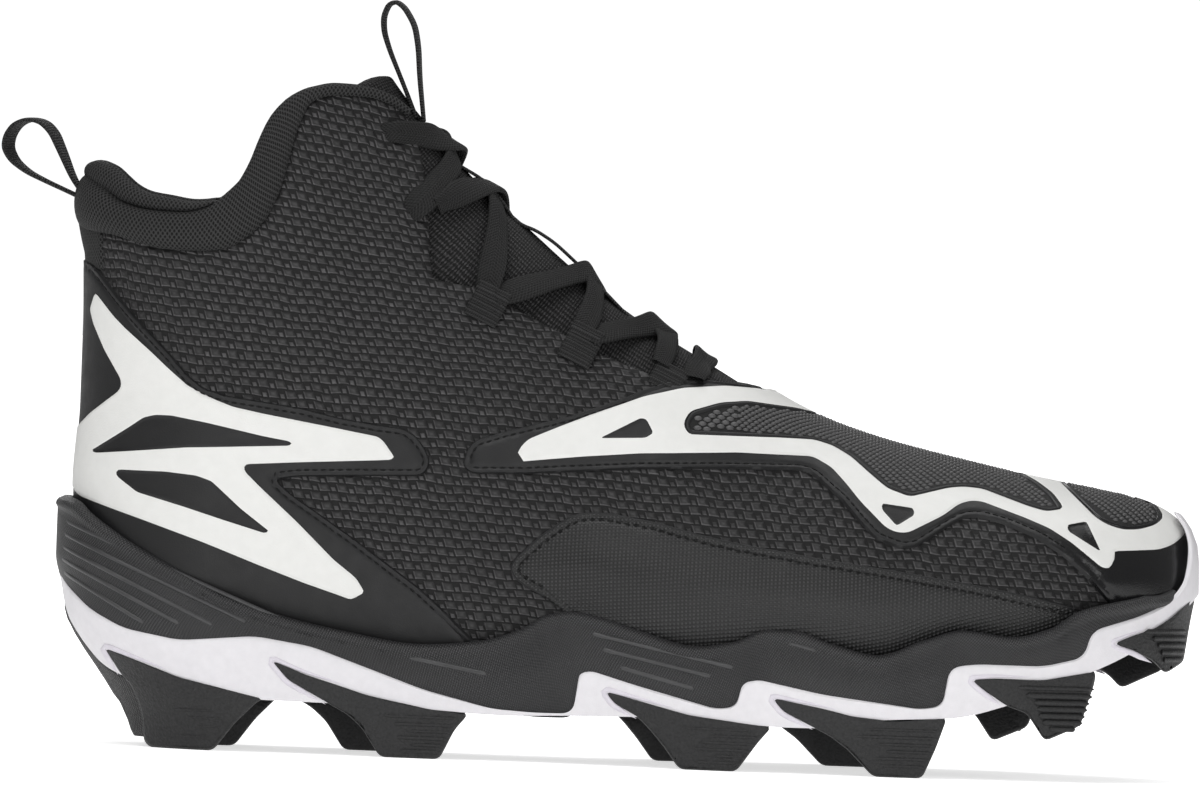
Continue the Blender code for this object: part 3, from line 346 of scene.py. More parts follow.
def stud_grid(label, side, shift):
    """Rings from the middle of the outer face over a rounded rim, across the block to its inner face."""
    line = rounded(STUDS[label], 1.6, 0.8) + shift
    middle = line.mean(axis=0)
    inward = unit(middle - line)
    rows = [(s, 0, 0) for s in np.linspace(0, 0.95, 20)] + [(1, 0.9, 0), (1, 0.35, 0.12), (1, 0, 0.5)]
    rows += [(1, 0, 0.93), (1, 0.35, 0.98), (1, 0.9, 1), (0.6, 0, 1), (0.0, 0, 1)]
    share, inset, depth = (np.array(c)[:, None] for c in zip(*rows))
    x, z = (middle[k] + (line[:, k] - middle[k]) * share + inward[:, k] * inset for k in (0, 1))
    bead = np.where(depth == 0.12, 0.35, np.where(depth == 0.5, 1.2, 0.0))
    face = wall_point(x, z, side, STUD_PROUD - bead, STUD_LEAST, True)
    deep = STUD_DEPTH - 3.5 * ease(1 - z / 13.0)
    ridge_y = curve(PLAN, "ridge_y", x)
    far = np.maximum(np.abs(sole_y(x, z, side) - ridge_y) - deep, 2.0)
    back = np.stack([x, ridge_y + side * far, z], axis=-1)
    share_in = np.where(depth < 0.51, 0.0, depth)[..., None]
    points = face + (back - face) * share_in
    return points, quads(len(rows), len(line), False, True), np.stack([x, z], axis=-1), 0


def bar_grid(rows, side, shift):
    """Half-round bars on a stud's outer face: radius r (1 - |2t - 1|^16)^0.5 along level runs."""
    z0, x0, x1, r = (np.array(c, float)[:, None, None] for c in zip(*rows))
    t, turn = np.linspace(0, 1, 15)[:, None], np.linspace(0, math.pi, 7)
    girth = r * np.sqrt(np.maximum(1 - np.abs(2 * t - 1) ** 16, 0.0)) + 0.12
    x, z = np.broadcast_arrays(x0 + (x1 - x0) * t + shift[0], z0 + girth * np.cos(turn) + shift[1])
    points = wall_point(x, z, side, STUD_PROUD - 0.15 + girth * np.sin(turn), STUD_LEAST, True)
    return points, copies(quads(15, 7), 15 * 7, len(rows)), np.stack([x, z], axis=-1), 0


def plate_grid(inset, lift):
    """Sheet under the foot between two lines set in from the side walls, z = underside + lift."""
    x = np.concatenate([np.linspace(19, 40, 12), np.linspace(44, 250, 60), np.linspace(252, 297.4, 30)])
    z = curve(SOLE_LOW, "z", x) + lift
    inset = 0.5 + (inset - 0.5) * (1 - ease((x - 262.0) / 30.0))
    t = np.linspace(0, 1, 13)
    left, right = sole_y(x, z + 1.0, -1) + inset, sole_y(x, z + 1.0, 1) - inset
    y = left[:, None] + (right - left)[:, None] * t
    points = np.stack(np.broadcast_arrays(x[:, None], y, z[:, None]), axis=-1)
    return points, quads(len(x), len(t)), points[..., :2], 0


def heel_wrap_grid():
    """Rubber round the back of the heel: the side wall from above the floor up to the white layer's edge."""
    turn = 0.05 * np.linspace(0, 1, 30) ** 2.2
    top = curve(WHITE_LOW, "z", SOLE_HEEL + (SOLE_TOE - SOLE_HEEL) * turn) + 0.4
    rise = np.array([0.0, 0.0, 0.06, 0.2, 0.35, 0.5, 0.65, 0.8, 0.9, 1.0])[:, None]
    lift = np.array([-4.0, -0.4, 0.1, 0.25, 0.25, 0.25, 0.25, 0.25, 0.25, -0.3])[:, None]
    foot = 2.6 + 8.9 * (1 - ease((turn - 0.0015) / 0.005))
    z = foot + (top - foot) * rise
    back, tip = curve(SOLE_ENDS, "back", z, "z"), curve(SOLE_ENDS, "tip", z, "z")
    x = back + (tip - back) * turn
    halves = [wall_point(x, z, side, lift) for side in (-1, 1)]
    halves[1][:, 0] = halves[0][:, 0] = (halves[0][:, 0] + halves[1][:, 0]) / 2
    grid = np.concatenate([halves[0][:, ::-1], halves[1][:, 1:]], axis=1)
    run = np.cumsum(np.linalg.norm(np.diff(grid[3], axis=0, prepend=grid[3, :1]), axis=-1))
    uv = np.stack(np.broadcast_arrays(run, grid[..., 2]), axis=-1)
    return grid, quads(*grid.shape[:2]), uv, 0


plain = (0, 0)
sides = [(-1, label, plain) for label in STUDS if label != "toe_inner"]
sides += [(1, label, INNER_SHIFT[label]) for label in STUDS if label != "toe"]
studs = [stud_grid(label, side, shift) for side, label, shift in sides]
add_piece("outsole_studs", studs, [rubber], ["outsole"], 35)
bars = [bar_grid(STUD_BARS[label], side, shift) for side, label, shift in sides]
add_piece("outsole_bars", bars, [rubber], (), 60)
add_piece("outsole_plate", [plate_grid(PLATE_INSET, 0.3)], [rubber], (),
          outward=((0.0, 0.0, 0.013), (0, 0, -1)))
wrap = heel_wrap_grid()
add_piece("outsole_heel_wrap", [wrap], [rubber], (),
          outward=((-0.14, 0.0, 0.025), (-1, 0, 0)), marks={"upright": np.ones(wrap[0].shape[:2])})

# WHITE SOLE LAYER
# White moulded layer between the studs and the black cup: a band round the whole shoe with four steps,
# that rises over the toe as a bumper. Its rim stands a little proud of the cup.
WHITE_TOP = [(-9, 52), (-2, 44), (0, 41.5), (6, 36), (15, 31.5), (30, 29), (50, 30.8), (65, 28.6),
             (95, 18.3), (113, 14), (125, 13.4), (134.5, 13.6), (135.8, 24.4), (139, 25.1), (150, 22),
             (172, 16.4), (177.4, 17.2), (178.8, 23.6), (183, 24.6), (200, 21.3), (226, 18.3),
             (231.6, 19.4), (233.2, 29.6), (240, 30.7), (258, 30.6), (268.6, 33.2), (270.4, 40.3),
             (283, 44.3), (289, 47.2), (293, 50.6), (295, 54), (296, 60), (295.6, 65), (294, 68.6),
             (291.9, 71.2)]
STEP_SHIFT = table("x shift", [(-10, 0), (30, 0), (65, -8), (110, -8), (140, -7), (160, -9), (178, -13),
                               (240, -13), (270, -11), (283, -4), (289, 0), (320, 0)])
RIM_PROUD = 0.7


def sole_wall(turn, z, side, lift=0.0):
    """Point of the side wall at a share of its length and a height, let out by a lift."""
    back, tip = curve(SOLE_ENDS, "back", z, "z"), curve(SOLE_ENDS, "tip", z, "z")
    return wall_point(back + (tip - back) * turn, z, side, lift)


def white_line(side):
    """Line between white and black on one side: shares of the sole's length and heights."""
    line = np.array(WHITE_TOP, float)
    if side > 0:
        line[:, 0] += curve(STEP_SHIFT, "shift", line[:, 0])
    even = rounded(line, 3.2, 0.45, closed=False)
    back, tip = curve(SOLE_ENDS, "back", even[:, 1], "z"), curve(SOLE_ENDS, "tip", even[:, 1], "z")
    turn = (even[:, 0] - back) / (tip - back)
    keep = (turn > 0.0) & (turn < 0.9995)
    head = turn[keep][0] * np.linspace(0, 1, 16)[:-1] ** 2.3
    turn = np.concatenate([head, np.maximum.accumulate(turn[keep]), [0.99985, 1.0]])
    tip_z = even[keep][-1, 1] + np.array([0.1, 0.15])
    return turn, np.concatenate([np.full(len(head), even[keep][0, 1] + 0.6), even[keep][:, 1], tip_z])


def white_grid(side):
    """Band from under the sole's edge, up the side wall to the rim, which rolls in by a quarter round."""
    turn, rim = white_line(side)
    place = SOLE_HEEL + (SOLE_TOE - SOLE_HEEL) * turn
    low = np.minimum(curve(WHITE_LOW, "z", place), rim - 0.6)
    rise = np.array([0.0, 0.05, 0.2, 0.4, 0.6, 0.8, 0.92])
    rolls = np.array([0.8, 0.4, 0.1, 0.0])
    z = np.concatenate([low + (rim - low) * rise[:, None], rim - rolls[:, None]])
    z = np.maximum.accumulate(z, axis=0)
    lifts = np.concatenate([np.full(len(rise), RIM_PROUD), RIM_PROUD * np.array([0.95, 0.7, 0.3, -0.3])])
    lifts = lifts[:, None] * (1 - 0.9 * ease((0.012 - turn) / 0.012))
    wall = sole_wall(turn[None, :] + 0 * z, z, side, lifts)
    under = wall[:1].repeat(3, axis=0)
    middle = curve(PLAN, "ridge_y", place)
    for k, (inset, lift) in enumerate(((9.0, 0.5), (7.0, 0.15), (1.0, -0.1))):
        share = np.maximum(1 - inset / np.maximum(np.abs(wall[0, :, 1] - middle), inset), 0)
        under[k, :, 1] = middle + (wall[0, :, 1] - middle) * share
        under[k, :, 2] += lift
    deep = sole_wall(turn[None, :], rim[None, :] - 0.6, side, -2.0 + 1.5 * ease((turn - 0.9) / 0.05))
    grid = np.concatenate([under, wall, deep])
    uv = np.stack([np.broadcast_to(grid[..., 0], grid.shape[:2]), grid[..., 2]], axis=-1)
    return grid, quads(*grid.shape[:2]), uv, 0


def left_of(line):
    """Unit directions square to a plane line, to its left."""
    ahead = unit(np.gradient(line, axis=0))
    return np.stack([-ahead[:, 1], ahead[:, 0]], axis=-1)


def wedge_rim(label, side, shift):
    """Raised rim round the tip of a stud's wedge: a half-round of radius r, thinning out along both edges."""
    line = np.array(STUDS[label])
    back = 1 if label == "heel" else 2
    line = rounded(np.concatenate([line[-back:], line[:3]]), 1.2, 0.4, False)
    left = left_of(line)
    line = line + left * 0.55 + shift
    t, turn = np.linspace(0, 1, len(line))[:, None], np.linspace(0, math.pi, 7)
    radius = 0.75 * np.clip(6 * t, 0, 1) * np.clip(1.6 * (1 - t), 0, 1) + 0.02
    x, z = (line[:, k:k + 1] + left[:, k:k + 1] * radius * np.cos(turn) for k in (0, 1))
    points = wall_point(x, z, side, RIM_PROUD - 0.12 + 0.7 * radius * np.sin(turn), 0.0, True)
    return points, quads(len(line), len(turn)), np.stack([x, z], axis=-1), 0


def joined(halves, ends):
    """Two mirrored patches whose end columns are brought together on the middle line."""
    for end in ends:
        middle = (halves[0][0][:, end] + halves[1][0][:, end]) / 2
        halves[0][0][:, end] = halves[1][0][:, end] = middle
    return halves


white, tree, shader = start_look("white_sole", (0.80, 0.785, 0.80), 0.42, 0.4)
mottle = noise(tree, 420.0, 4.0)
tint(tree, shader, mottle, (0.70, 0.685, 0.71), (0.80, 0.785, 0.81))
bump(tree, shader, noise(tree, 3200.0, 2.0), 0.06)
# The wedge rims are painted a darker lilac grey than the white layer: painted shade of the bevel round each
# wedge tip.
shaded_rim_white, tree, shader = start_look("white_rim_painted_shade", (0.70, 0.67, 0.72), 0.45, 0.35)
tint(tree, shader, noise(tree, 500.0, 3.0), (0.62, 0.59, 0.65), (0.76, 0.73, 0.78))
bump(tree, shader, noise(tree, 3200.0, 2.0), 0.05)
band = joined([white_grid(-1), white_grid(1)], (0, -1))
add_piece("white_sole_layer", band, [white], ["sole_plate"], 50,
          outward=((0.0, -0.046, 0.016), (0, -1, 0)))
rims = [wedge_rim(label, side, shift) for side, label, shift in sides]
add_piece("white_sole_rims", rims, [shaded_rim_white], (), 60)

# MIDSOLE
# Black moulded cup that holds the foot: wavy rolled top edge with a knurled bead, thin raised ribs and a
# fine diagonal hatch on its side wall. It is glued to the white layer and to the upper.
RIBS = table("x0 z0 x1 z1 thick", [
    (-3, 59.5, 57, 35.2, 0.55), (-3, 56, 48.5, 34, 0.55), (-3, 52.5, 39.5, 33, 0.5),
    (-2.6, 49, 30.5, 33, 0.5), (-2, 45.5, 21, 32.8, 0.45), (90, 26.8, 112, 23, 0.3),
    (138, 35, 177, 27.3, 0.5), (141, 31, 171, 24.8, 0.45), (146, 26.4, 166.5, 21.4, 0.35),
    (190, 34.8, 198, 32.8, 0.35)])
CUP_END, CUP_TIP = 0.955, 0.984


def cup_grid(side):
    """Side wall from behind the white rim to the top edge, over a rolled bead and down towards the foot."""
    turn, rim = white_line(side)
    turn, rim = turn[turn < CUP_TIP], rim[turn < CUP_TIP]
    place = SOLE_HEEL + (SOLE_TOE - SOLE_HEEL) * turn
    room = 4.4 * np.clip((CUP_TIP - turn) / (CUP_TIP - CUP_END), 0.0, None) + 0.02
    top = rim + np.clip(curve(SOLE_TOP, "z", place) - rim, 0.02, np.where(turn > CUP_END, room, 99.0))
    rise = np.concatenate([np.linspace(0, 0.8, 12), [0.86, 0.91, 0.95, 0.98, 1.0]])
    z = (rim - 1.2)[None, :] + np.maximum(top - rim + 1.2, 0.05)[None, :] * rise[:, None]
    near = np.clip(1 - (top[None, :] - z) / 3.0, 0, 1)
    bead = 0.95 * np.sin(math.pi * near) ** 0.8 - 0.4 * (near > 0.999) - 1.3 * ease((turn - 0.972) / 0.014)
    wall = sole_wall(turn[None, :] + 0 * z, z, side, bead)
    inset, rise_mm = np.array([(0.5, 0.35), (1.3, 0.35), (2.2, -0.3), (2.9, -3.0)]).T[..., None]
    lip = sole_wall(turn[None, :] + 0 * inset, z[-1:] + rise_mm, side, bead[-1:] - inset)
    grid = np.concatenate([wall, lip])
    along = lengths(wall[-1])
    down = np.concatenate([top[None, :] - z, np.array([-0.5, -1.3, -2.2, -4.0])[:, None] + 0 * lip[..., 0]])
    return grid, quads(*grid.shape[:2]), np.stack([along[None, :] + 0 * down, down], axis=-1), 0


def rib_grid(side):
    """Raised lines on the wall: half-round of height h sin(pi t), along straight runs in side view."""
    t, turn = np.linspace(0, 1, 50), np.linspace(-1, 1, 7)
    x = RIBS["x0"][:, None] + (RIBS["x1"] - RIBS["x0"])[:, None] * t
    z = RIBS["z0"][:, None] + (RIBS["z1"] - RIBS["z0"])[:, None] * t
    height = RIBS["thick"][:, None] * np.clip(np.sin(math.pi * t) * 2.6, 0, 1)
    z = z[..., None] + 0.65 * turn
    x = np.broadcast_to(x[..., None], z.shape)
    points = wall_point(x, z, side, height[..., None] * np.sqrt(1 - turn ** 2) - 0.1)
    return [(p, quads(len(t), len(turn)), p[..., [0, 2]] + (0, 60), 0) for p in points]


cup, tree, shader = start_look("black_cup", (0.024, 0.024, 0.0255), 0.48, 0.5)
u, v, _ = coordinates(tree)
lean, cross = stripes(tree, u, v, 0.75, 9.0), stripes(tree, u, v, -1.6, 4.6)
# Painted highlight: edge makes the hatch, and so the colour, lighter on the rolled bead just under the top
# edge; the hatch and the noise patches are the wall's own texture.
edge = calc(tree, "MULTIPLY", ramp(tree, v, 4.2, 2.0, 0.0, 0.6), ramp(tree, v, -0.6, 0.2))
patch = ramp(tree, noise(tree, 34.0, 1.0), 0.35, 0.6, 0.45, 1.0)
hatch = ramp(tree, calc(tree, "MULTIPLY_ADD", cross, 0.6, lean), -0.8, 1.2)
hatch_with_bead_highlight = calc(tree, "MULTIPLY", calc(tree, "MULTIPLY", hatch, calc(tree, "ADD", edge, 0.55)), patch)
bump(tree, shader, calc(tree, "MULTIPLY_ADD", noise(tree, 1500.0, 3.0), 0.25, hatch_with_bead_highlight), 0.34)
tint(tree, shader, hatch_with_bead_highlight, (0.007, 0.007, 0.008), (0.078, 0.078, 0.080))
rib_look, tree, shader = start_look("cup_ribs", (0.036, 0.036, 0.037), 0.42, 0.5)
tint(tree, shader, noise(tree, 150.0, 2.0), (0.024, 0.024, 0.025), (0.062, 0.062, 0.064))
bump(tree, shader, noise(tree, 1500.0, 2.0), 0.1)
cups = joined([cup_grid(-1), cup_grid(1)], (0,))
add_piece("midsole_cup", cups, [cup], ["midsole"], 50,
          outward=((0.0, -0.046, 0.03), (0, -1, 0)))
for word, side in (("outer", -1), ("inner", 1)):
    add_piece("midsole_ribs_" + word, rib_grid(side), [rib_look], (),
              outward=((0.0, 0.05 * side, 0.03), (0, side, 0)))

# INSOLE
# Thin footbed of black cloth on foam that lies on the floor of the shoe.
FLOOR = table("x z", [
    (-4, 36), (10, 34.5), (40, 34.2), (55, 32), (70, 28.6), (90, 26.4), (130, 26), (200, 26), (215, 27.2),
    (233, 32), (255, 36), (275, 42), (298, 49)])
RIDGE = table("x z crown power", [
    (0, 297, 62, 1.5), (50, 227, 62, 1.5), (70, 199, 62, 1.5), (80, 185, 62, 1.5), (90, 171.5, 63, 1.5),
    (100, 159, 65, 1.5), (110, 149.5, 66, 1.5), (120, 141.3, 66, 1.5), (130, 132.8, 65, 1.55),
    (140, 125.2, 62, 1.6), (150, 118.4, 59, 1.65), (160, 112.6, 57, 1.7), (170, 107, 55, 1.75),
    (180, 101.2, 53, 1.8), (190, 95.6, 50, 1.85), (200, 91.2, 47, 1.9), (215, 86.6, 43, 1.95),
    (235, 82.1, 38, 2), (255, 78.2, 32, 2), (275, 75.6, 27, 2), (298, 75.6, 24, 2)])
ANKLE = table("z share", [
    (20, 0.95), (30, 0.97), (45, 1), (70, 0.96), (100, 0.88), (125, 0.86), (140, 0.9), (150, 0.92),
    (185, 0.95)])
HEEL_LINE = table("z x", [
    (20, 2), (45, 1.6), (70, 1.2), (90, 2.2), (110, 2.2), (125, 1.8), (135, 1.2), (160, 1)])


def ridge_z(x):
    """Height of the ridge over the foot, with the toe's quarter round."""
    turn = np.clip((np.asarray(x, float) - 266.0) / (UPPER_TOE - 266.0), 0.0, 1.0)
    return curve(RIDGE, "z", x) - 17.0 * (1 - np.sqrt(1 - turn ** 2))


def upper_y(x, z, side):
    """Outer side of the upper: plan x ankle share x crown x heel and toe ends x tuck at the floor."""
    middle = curve(PLAN, "ridge_y", x)
    plan = curve(PLAN, "lateral", x) + middle if side < 0 else curve(PLAN, "medial", x) - middle
    share = 1 + (curve(ANKLE, "share", z, "z") - 1) * (1 - ease((x - 70) / 60))
    slope = curve(RIDGE, "z", x + 0.5) - curve(RIDGE, "z", x - 0.5)
    below = np.clip((ridge_z(x) - z) / np.sqrt(1 + slope ** 2) / curve(RIDGE, "crown", x), 0.0, 1.0)
    crown = np.sqrt(1 - (1 - below) ** curve(RIDGE, "power", x))
    heel = rounded_end((x - curve(HEEL_LINE, "x", z, "z")) / HEEL_ROUND, 2.2)
    toe = rounded_end((UPPER_TOE - x) / (UPPER_TOE - TOE_START), 2.3)
    tuck = 1 - 0.07 * (1 - ease((z - curve(FLOOR, "z", x)) / 14.0))
    return middle + side * plan * share * crown * heel * toe * tuck


def insole_grid():
    """Footbed: z = floor + 4 with raised edges, width from the upper's inner side."""
    x = np.concatenate([6 + 30 * (1 - np.cos(np.linspace(0.1, math.pi / 2, 16))), np.linspace(40, 250, 50),
                        250 + 36 * np.sin(np.linspace(0.05, math.pi / 2, 16))])
    z = curve(FLOOR, "z", x) + 0.9
    room = 3.0 * (1 + 0.9 * ease((30 - x) / 24) + 0.9 * ease((x - 245) / 40))
    left, right = upper_y(x, z + 0.3, -1) + room, upper_y(x, z + 0.3, 1) - room
    t = np.linspace(-1, 1, 21)
    y = (left + right)[:, None] / 2 + (right - left)[:, None] / 2 * t
    height = z[:, None] + 2.5 + 0.9 * t ** 4
    points = np.stack(np.broadcast_arrays(x[:, None], y, height), axis=-1)
    return points, quads(len(x), len(t)), points[..., :2], 0


footbed, tree, shader = start_look("footbed_cloth", (0.03, 0.03, 0.031), 0.85, 0.3)
u, v, _ = coordinates(tree)
bump(tree, shader, stripes(tree, u, v, 1.0, 5.0), 0.15)
add_piece("insole_bed", [insole_grid()], [footbed], ["insole"],
          outward=((0.0, 0.0, 0.03), (0, 0, 1)))

# UPPER
# One hollow shell of coarse black basket weave, lined with smooth cloth, open at the collar, the throat
# and underneath. It is cut from the last's own shape and lasted under the footbed.
WALL = 2.0
THROAT_FRONT = 183.0
UPPER_EDGE = table("x z", [
    (1.2, 136.2), (8, 135.5), (15, 133.7), (22, 132.4), (30, 132.2), (38, 133), (44, 136.4), (49, 141.7),
    (52.5, 149.7), (54.5, 158.2), (56.5, 166), (59.5, 172.2), (66, 174.2), (74, 173.9), (80, 172),
    (84, 169.2), (86.6, 165.5), (88.6, 159.5), (90.4, 151), (91.6, 141), (92.4, 132), (93.4, 126.6),
    (98, 125.5), (104, 124.5), (115, 119.5), (127, 113.5), (139, 108), (150, 103.8), (160, 101.2),
    (172, 100.2), (183, 99.4)])
HEEL_TURN, TOE_FROM = 40.0, 260.0
TOE_TURN = UPPER_TOE - TOE_FROM
HEEL_EXTRA = HEEL_TURN * (math.pi / 2 - 1)
SKIN_END = TOE_FROM + HEEL_EXTRA + TOE_TURN * math.pi / 2


def unrolled_x(w):
    """Place along the shoe from the length round heel and toe: quarter circles at both ends."""
    heel = HEEL_TURN * (1 - np.cos(np.clip(w / HEEL_TURN, 0, math.pi / 2)))
    toe = TOE_FROM + TOE_TURN * np.sin(np.clip((w - TOE_FROM - HEEL_EXTRA) / TOE_TURN, 0, math.pi / 2))
    front = np.where(w < TOE_FROM + HEEL_EXTRA, w - HEEL_EXTRA, toe)
    return np.where(w < HEEL_TURN + HEEL_EXTRA, heel, front)


def skin(w, q, side):
    """Upper's surface from the length round the shoe w and the height round the section q (both mm)."""
    u = unrolled_x(w)
    low = curve(FLOOR, "z", u) + 0.6
    reach = ridge_z(u) - low
    z = low + reach * np.sin(np.clip(q / reach, -0.3, math.pi / 2))
    x = u + curve(HEEL_LINE, "x", z, "z") * (1 - ease(u / 60.0))
    return np.stack([x, upper_y(x, z, side), z], axis=-1)


def skin_place(points):
    """Lengths w and q of side-view points (x, z): the inverse of the surface."""
    x, z = np.asarray(points, float).T
    u = x
    for _ in range(5):
        u = np.clip(x - curve(HEEL_LINE, "x", z, "z") * (1 - ease(u / 60.0)), 0, UPPER_TOE)
    heel = HEEL_TURN * np.arccos(np.clip(1 - u / HEEL_TURN, -1, 1))
    toe = TOE_FROM + HEEL_EXTRA + TOE_TURN * np.arcsin(np.clip((u - TOE_FROM) / TOE_TURN, 0, 1))
    w = np.where(u < HEEL_TURN, heel, np.where(u < TOE_FROM, u + HEEL_EXTRA, toe))
    low = curve(FLOOR, "z", u) + 0.6
    reach = ridge_z(u) - low
    return np.stack([w, reach * np.arcsin(np.clip((z - low) / reach, -0.25, 1.0))], axis=-1)


def ridge_q(w):
    """Height round the section at which the two sides meet."""
    u = unrolled_x(w)
    return (ridge_z(u) - curve(FLOOR, "z", u) - 0.6) * math.pi / 2


def skin_frame(w, q, side):
    """Surface point and outward normal, from small steps towards the inside of the sheet."""
    here = skin(w, q, side)
    step_w, step_q = np.where(w > 1, -0.05, 0.05), np.where(q > 1, -0.05, 0.05)
    along = (skin(w + step_w, q, side) - here) / step_w[..., None]
    rising = (skin(w, q + step_q, side) - here) / step_q[..., None]
    return here, unit(np.cross(along, rising) * -side)


def inside(points, outline):
    """True where a point lies in a closed outline (crossings of a level ray)."""
    a, b = outline, np.roll(outline, -1, axis=0)
    x, y = points[:, None, 0], points[:, None, 1]
    spans = (a[:, 1] > y) != (b[:, 1] > y)
    rise = np.where(np.abs(b[:, 1] - a[:, 1]) < 1e-12, 1e-12, b[:, 1] - a[:, 1])
    return np.sum(spans & (x < a[:, 0] + (y - a[:, 1]) / rise * (b[:, 0] - a[:, 0])), axis=1) % 2 == 1


def distance(points, line):
    """Least distance of points to the straight pieces of an open line."""
    a, d = line[:-1], np.diff(line, axis=0)
    size = np.maximum(np.sum(d * d, axis=1), 1e-12)
    t = np.clip(np.einsum("nkc,kc->nk", points[:, None] - a, d) / size, 0, 1)
    return np.sqrt(np.min(np.sum((points[:, None] - a - t[..., None] * d) ** 2, axis=-1), axis=1))


def cut_sheet(outline, step, lines=(), fringe=0.0):
    """Triangles of a sheet inside an outline: even points plus the outline and further lines drawn on it."""
    low, high = outline.min(axis=0), outline.max(axis=0)
    across, up = np.arange(low[0], high[0], step), np.arange(low[1], high[1], step * 0.87)
    x, y = np.meshgrid(across, up, indexing="ij")
    x = x + (np.arange(len(up)) % 2) * step / 2
    inner = np.stack([x, y], axis=-1).reshape(-1, 2)
    inner = inner[inside(inner, outline)]
    drawn = [np.concatenate([outline, outline[:1]])] + [np.concatenate([p, p[:1]]) for p in lines]
    gap = np.min([distance(inner, line) for line in drawn], axis=0)
    points, edges = [inner[gap > 0.45 * step]], []
    start = len(points[0])
    for line in [outline, *lines]:
        points.append(line)
        k = np.arange(len(line))
        edges += (np.stack([k, np.roll(k, -1)], axis=-1) + start).tolist()
        start += len(line)
    if fringe:
        for line in [outline, *lines]:
            ahead = unit(np.roll(line, -1, axis=0) - np.roll(line, 1, axis=0))
            for amount in fringe * np.array([-1, 1, -2.4, 2.4, -3.8, 3.8, -5.0, 5.0]):
                ring = line + np.stack([-ahead[:, 1], ahead[:, 0]], axis=-1) * amount
                ring = ring[inside(ring, outline)]
                clear = np.min([distance(ring, other) for other in drawn], axis=0) > 0.8 * fringe
                points.append(ring[clear])
    flat, _, triangles, *_ = delaunay_2d_cdt(np.concatenate(points).tolist(), edges, [], 0, 1e-5)
    flat, triangles = np.array(flat), np.array(triangles)
    return flat, triangles[inside(flat[triangles].mean(axis=1), outline)]


def upper_outline():
    """Collar and throat edge, ridge, toe, floor and heel line of one side, as lengths on the skin."""
    x = np.concatenate([np.linspace(1.2, 84, 120), np.linspace(84.3, 98, 110),
                        np.linspace(98.5, THROAT_FRONT, 90)])
    edge = skin_place(np.stack([x, curve(UPPER_EDGE, "z", x)], axis=-1))
    edge[0, 0] = 0.0
    w = np.linspace(edge[-1, 0] + 1.5, SKIN_END, 70)
    ridge = np.stack([w, ridge_q(w)], axis=-1)
    ridge[-1, 1] = ridge_q(np.array(SKIN_END))
    floor = np.stack([np.linspace(SKIN_END, 0, 200), np.zeros(200)], axis=-1)
    heel = np.stack([np.zeros(40), np.linspace(2, edge[0, 1] - 2, 40)], axis=-1)
    toe = np.stack([np.full(5, SKIN_END), np.linspace(ridge[-1, 1], 0, 7)[1:-1]], axis=-1)
    return np.concatenate([edge, ridge, toe, floor, heel])


def skin_patch(flat, triangles, side, lift, look=0, tilt=-0.1):
    """Sheet laid on the skin at a lift; its uv rows (mm) lean by a tilt or, with none, follow the weave."""
    here, normal = skin_frame(flat[:, 0], flat[:, 1], side)
    x, z = here[:, 0], here[:, 2]
    if tilt is None:
        rows = z + 0.05 * x + 0.0022 * np.maximum(z - 100, 0) * (x - 40)
    else:
        rows = flat[:, 1] + tilt * flat[:, 0]
    uv = np.stack([flat[:, 0], rows], axis=-1)
    return here + normal * np.asarray(lift)[..., None], triangles, uv, look


WEAVE_ROW, WEAVE_STEP = 2.35, 4.8
cloth, tree, shader = start_look("basket_weave", (0.03, 0.03, 0.031), 0.55, 0.35)
u, v, _ = coordinates(tree)
wander = calc(tree, "MULTIPLY", calc(tree, "SUBTRACT", noise(tree, 0.12, 1.0, "UV"), 0.5), 1.6)
row = calc(tree, "DIVIDE", calc(tree, "ADD", v, wander), WEAVE_ROW)
in_v = calc(tree, "FRACT", row)
slant = calc(tree, "MULTIPLY_ADD", in_v, 0.18, calc(tree, "DIVIDE", u, WEAVE_STEP))
in_u = calc(tree, "FRACT", calc(tree, "MULTIPLY_ADD", calc(tree, "FLOOR", row), -0.40, slant))


def strand(tree, middle_u, half_u, middle_v, half_v):
    """Place across a strand seen from above: a and b from -1 to 1, and its edge max(|a|, |b|) = 1."""
    a = calc(tree, "DIVIDE", calc(tree, "SUBTRACT", in_u, middle_u), half_u)
    b = calc(tree, "DIVIDE", calc(tree, "SUBTRACT", in_v, middle_v), half_v)
    return a, b, calc(tree, "MAXIMUM", calc(tree, "ABSOLUTE", a), calc(tree, "ABSOLUTE", b))


def pulse(tree, value, at, half):
    """Peak of 1 at a value that falls to 0 over a half width."""
    away = calc(tree, "DIVIDE", calc(tree, "ABSOLUTE", calc(tree, "SUBTRACT", value, at)), half)
    return calc(tree, "MAXIMUM", calc(tree, "SUBTRACT", 1.0, away), 0.0)


a, b, edge = strand(tree, 0.34, 0.31, 0.47, 0.45)
pillow = ramp(tree, edge, 1.0, 0.84)
_, _, edge_2 = strand(tree, 0.83, 0.15, 0.29, 0.29)
plug = ramp(tree, edge_2, 1.0, 0.65)
# Painted highlights of the yarn: under is a lighter band along the bottom of each pillow and plug; each
# pillow also gets a lighter left edge and a lighter middle.
under = pulse(tree, b, -0.76, 0.26)
pillow_glints = calc(tree, "MULTIPLY_ADD", pulse(tree, a, -0.8, 0.22), 0.45, calc(tree, "MULTIPLY", under, 0.6))
pillow_glints = calc(tree, "ADD", pillow_glints, calc(tree, "ADD", ramp(tree, edge, 0.55, 0.0, 0.0, 0.22), 0.08))
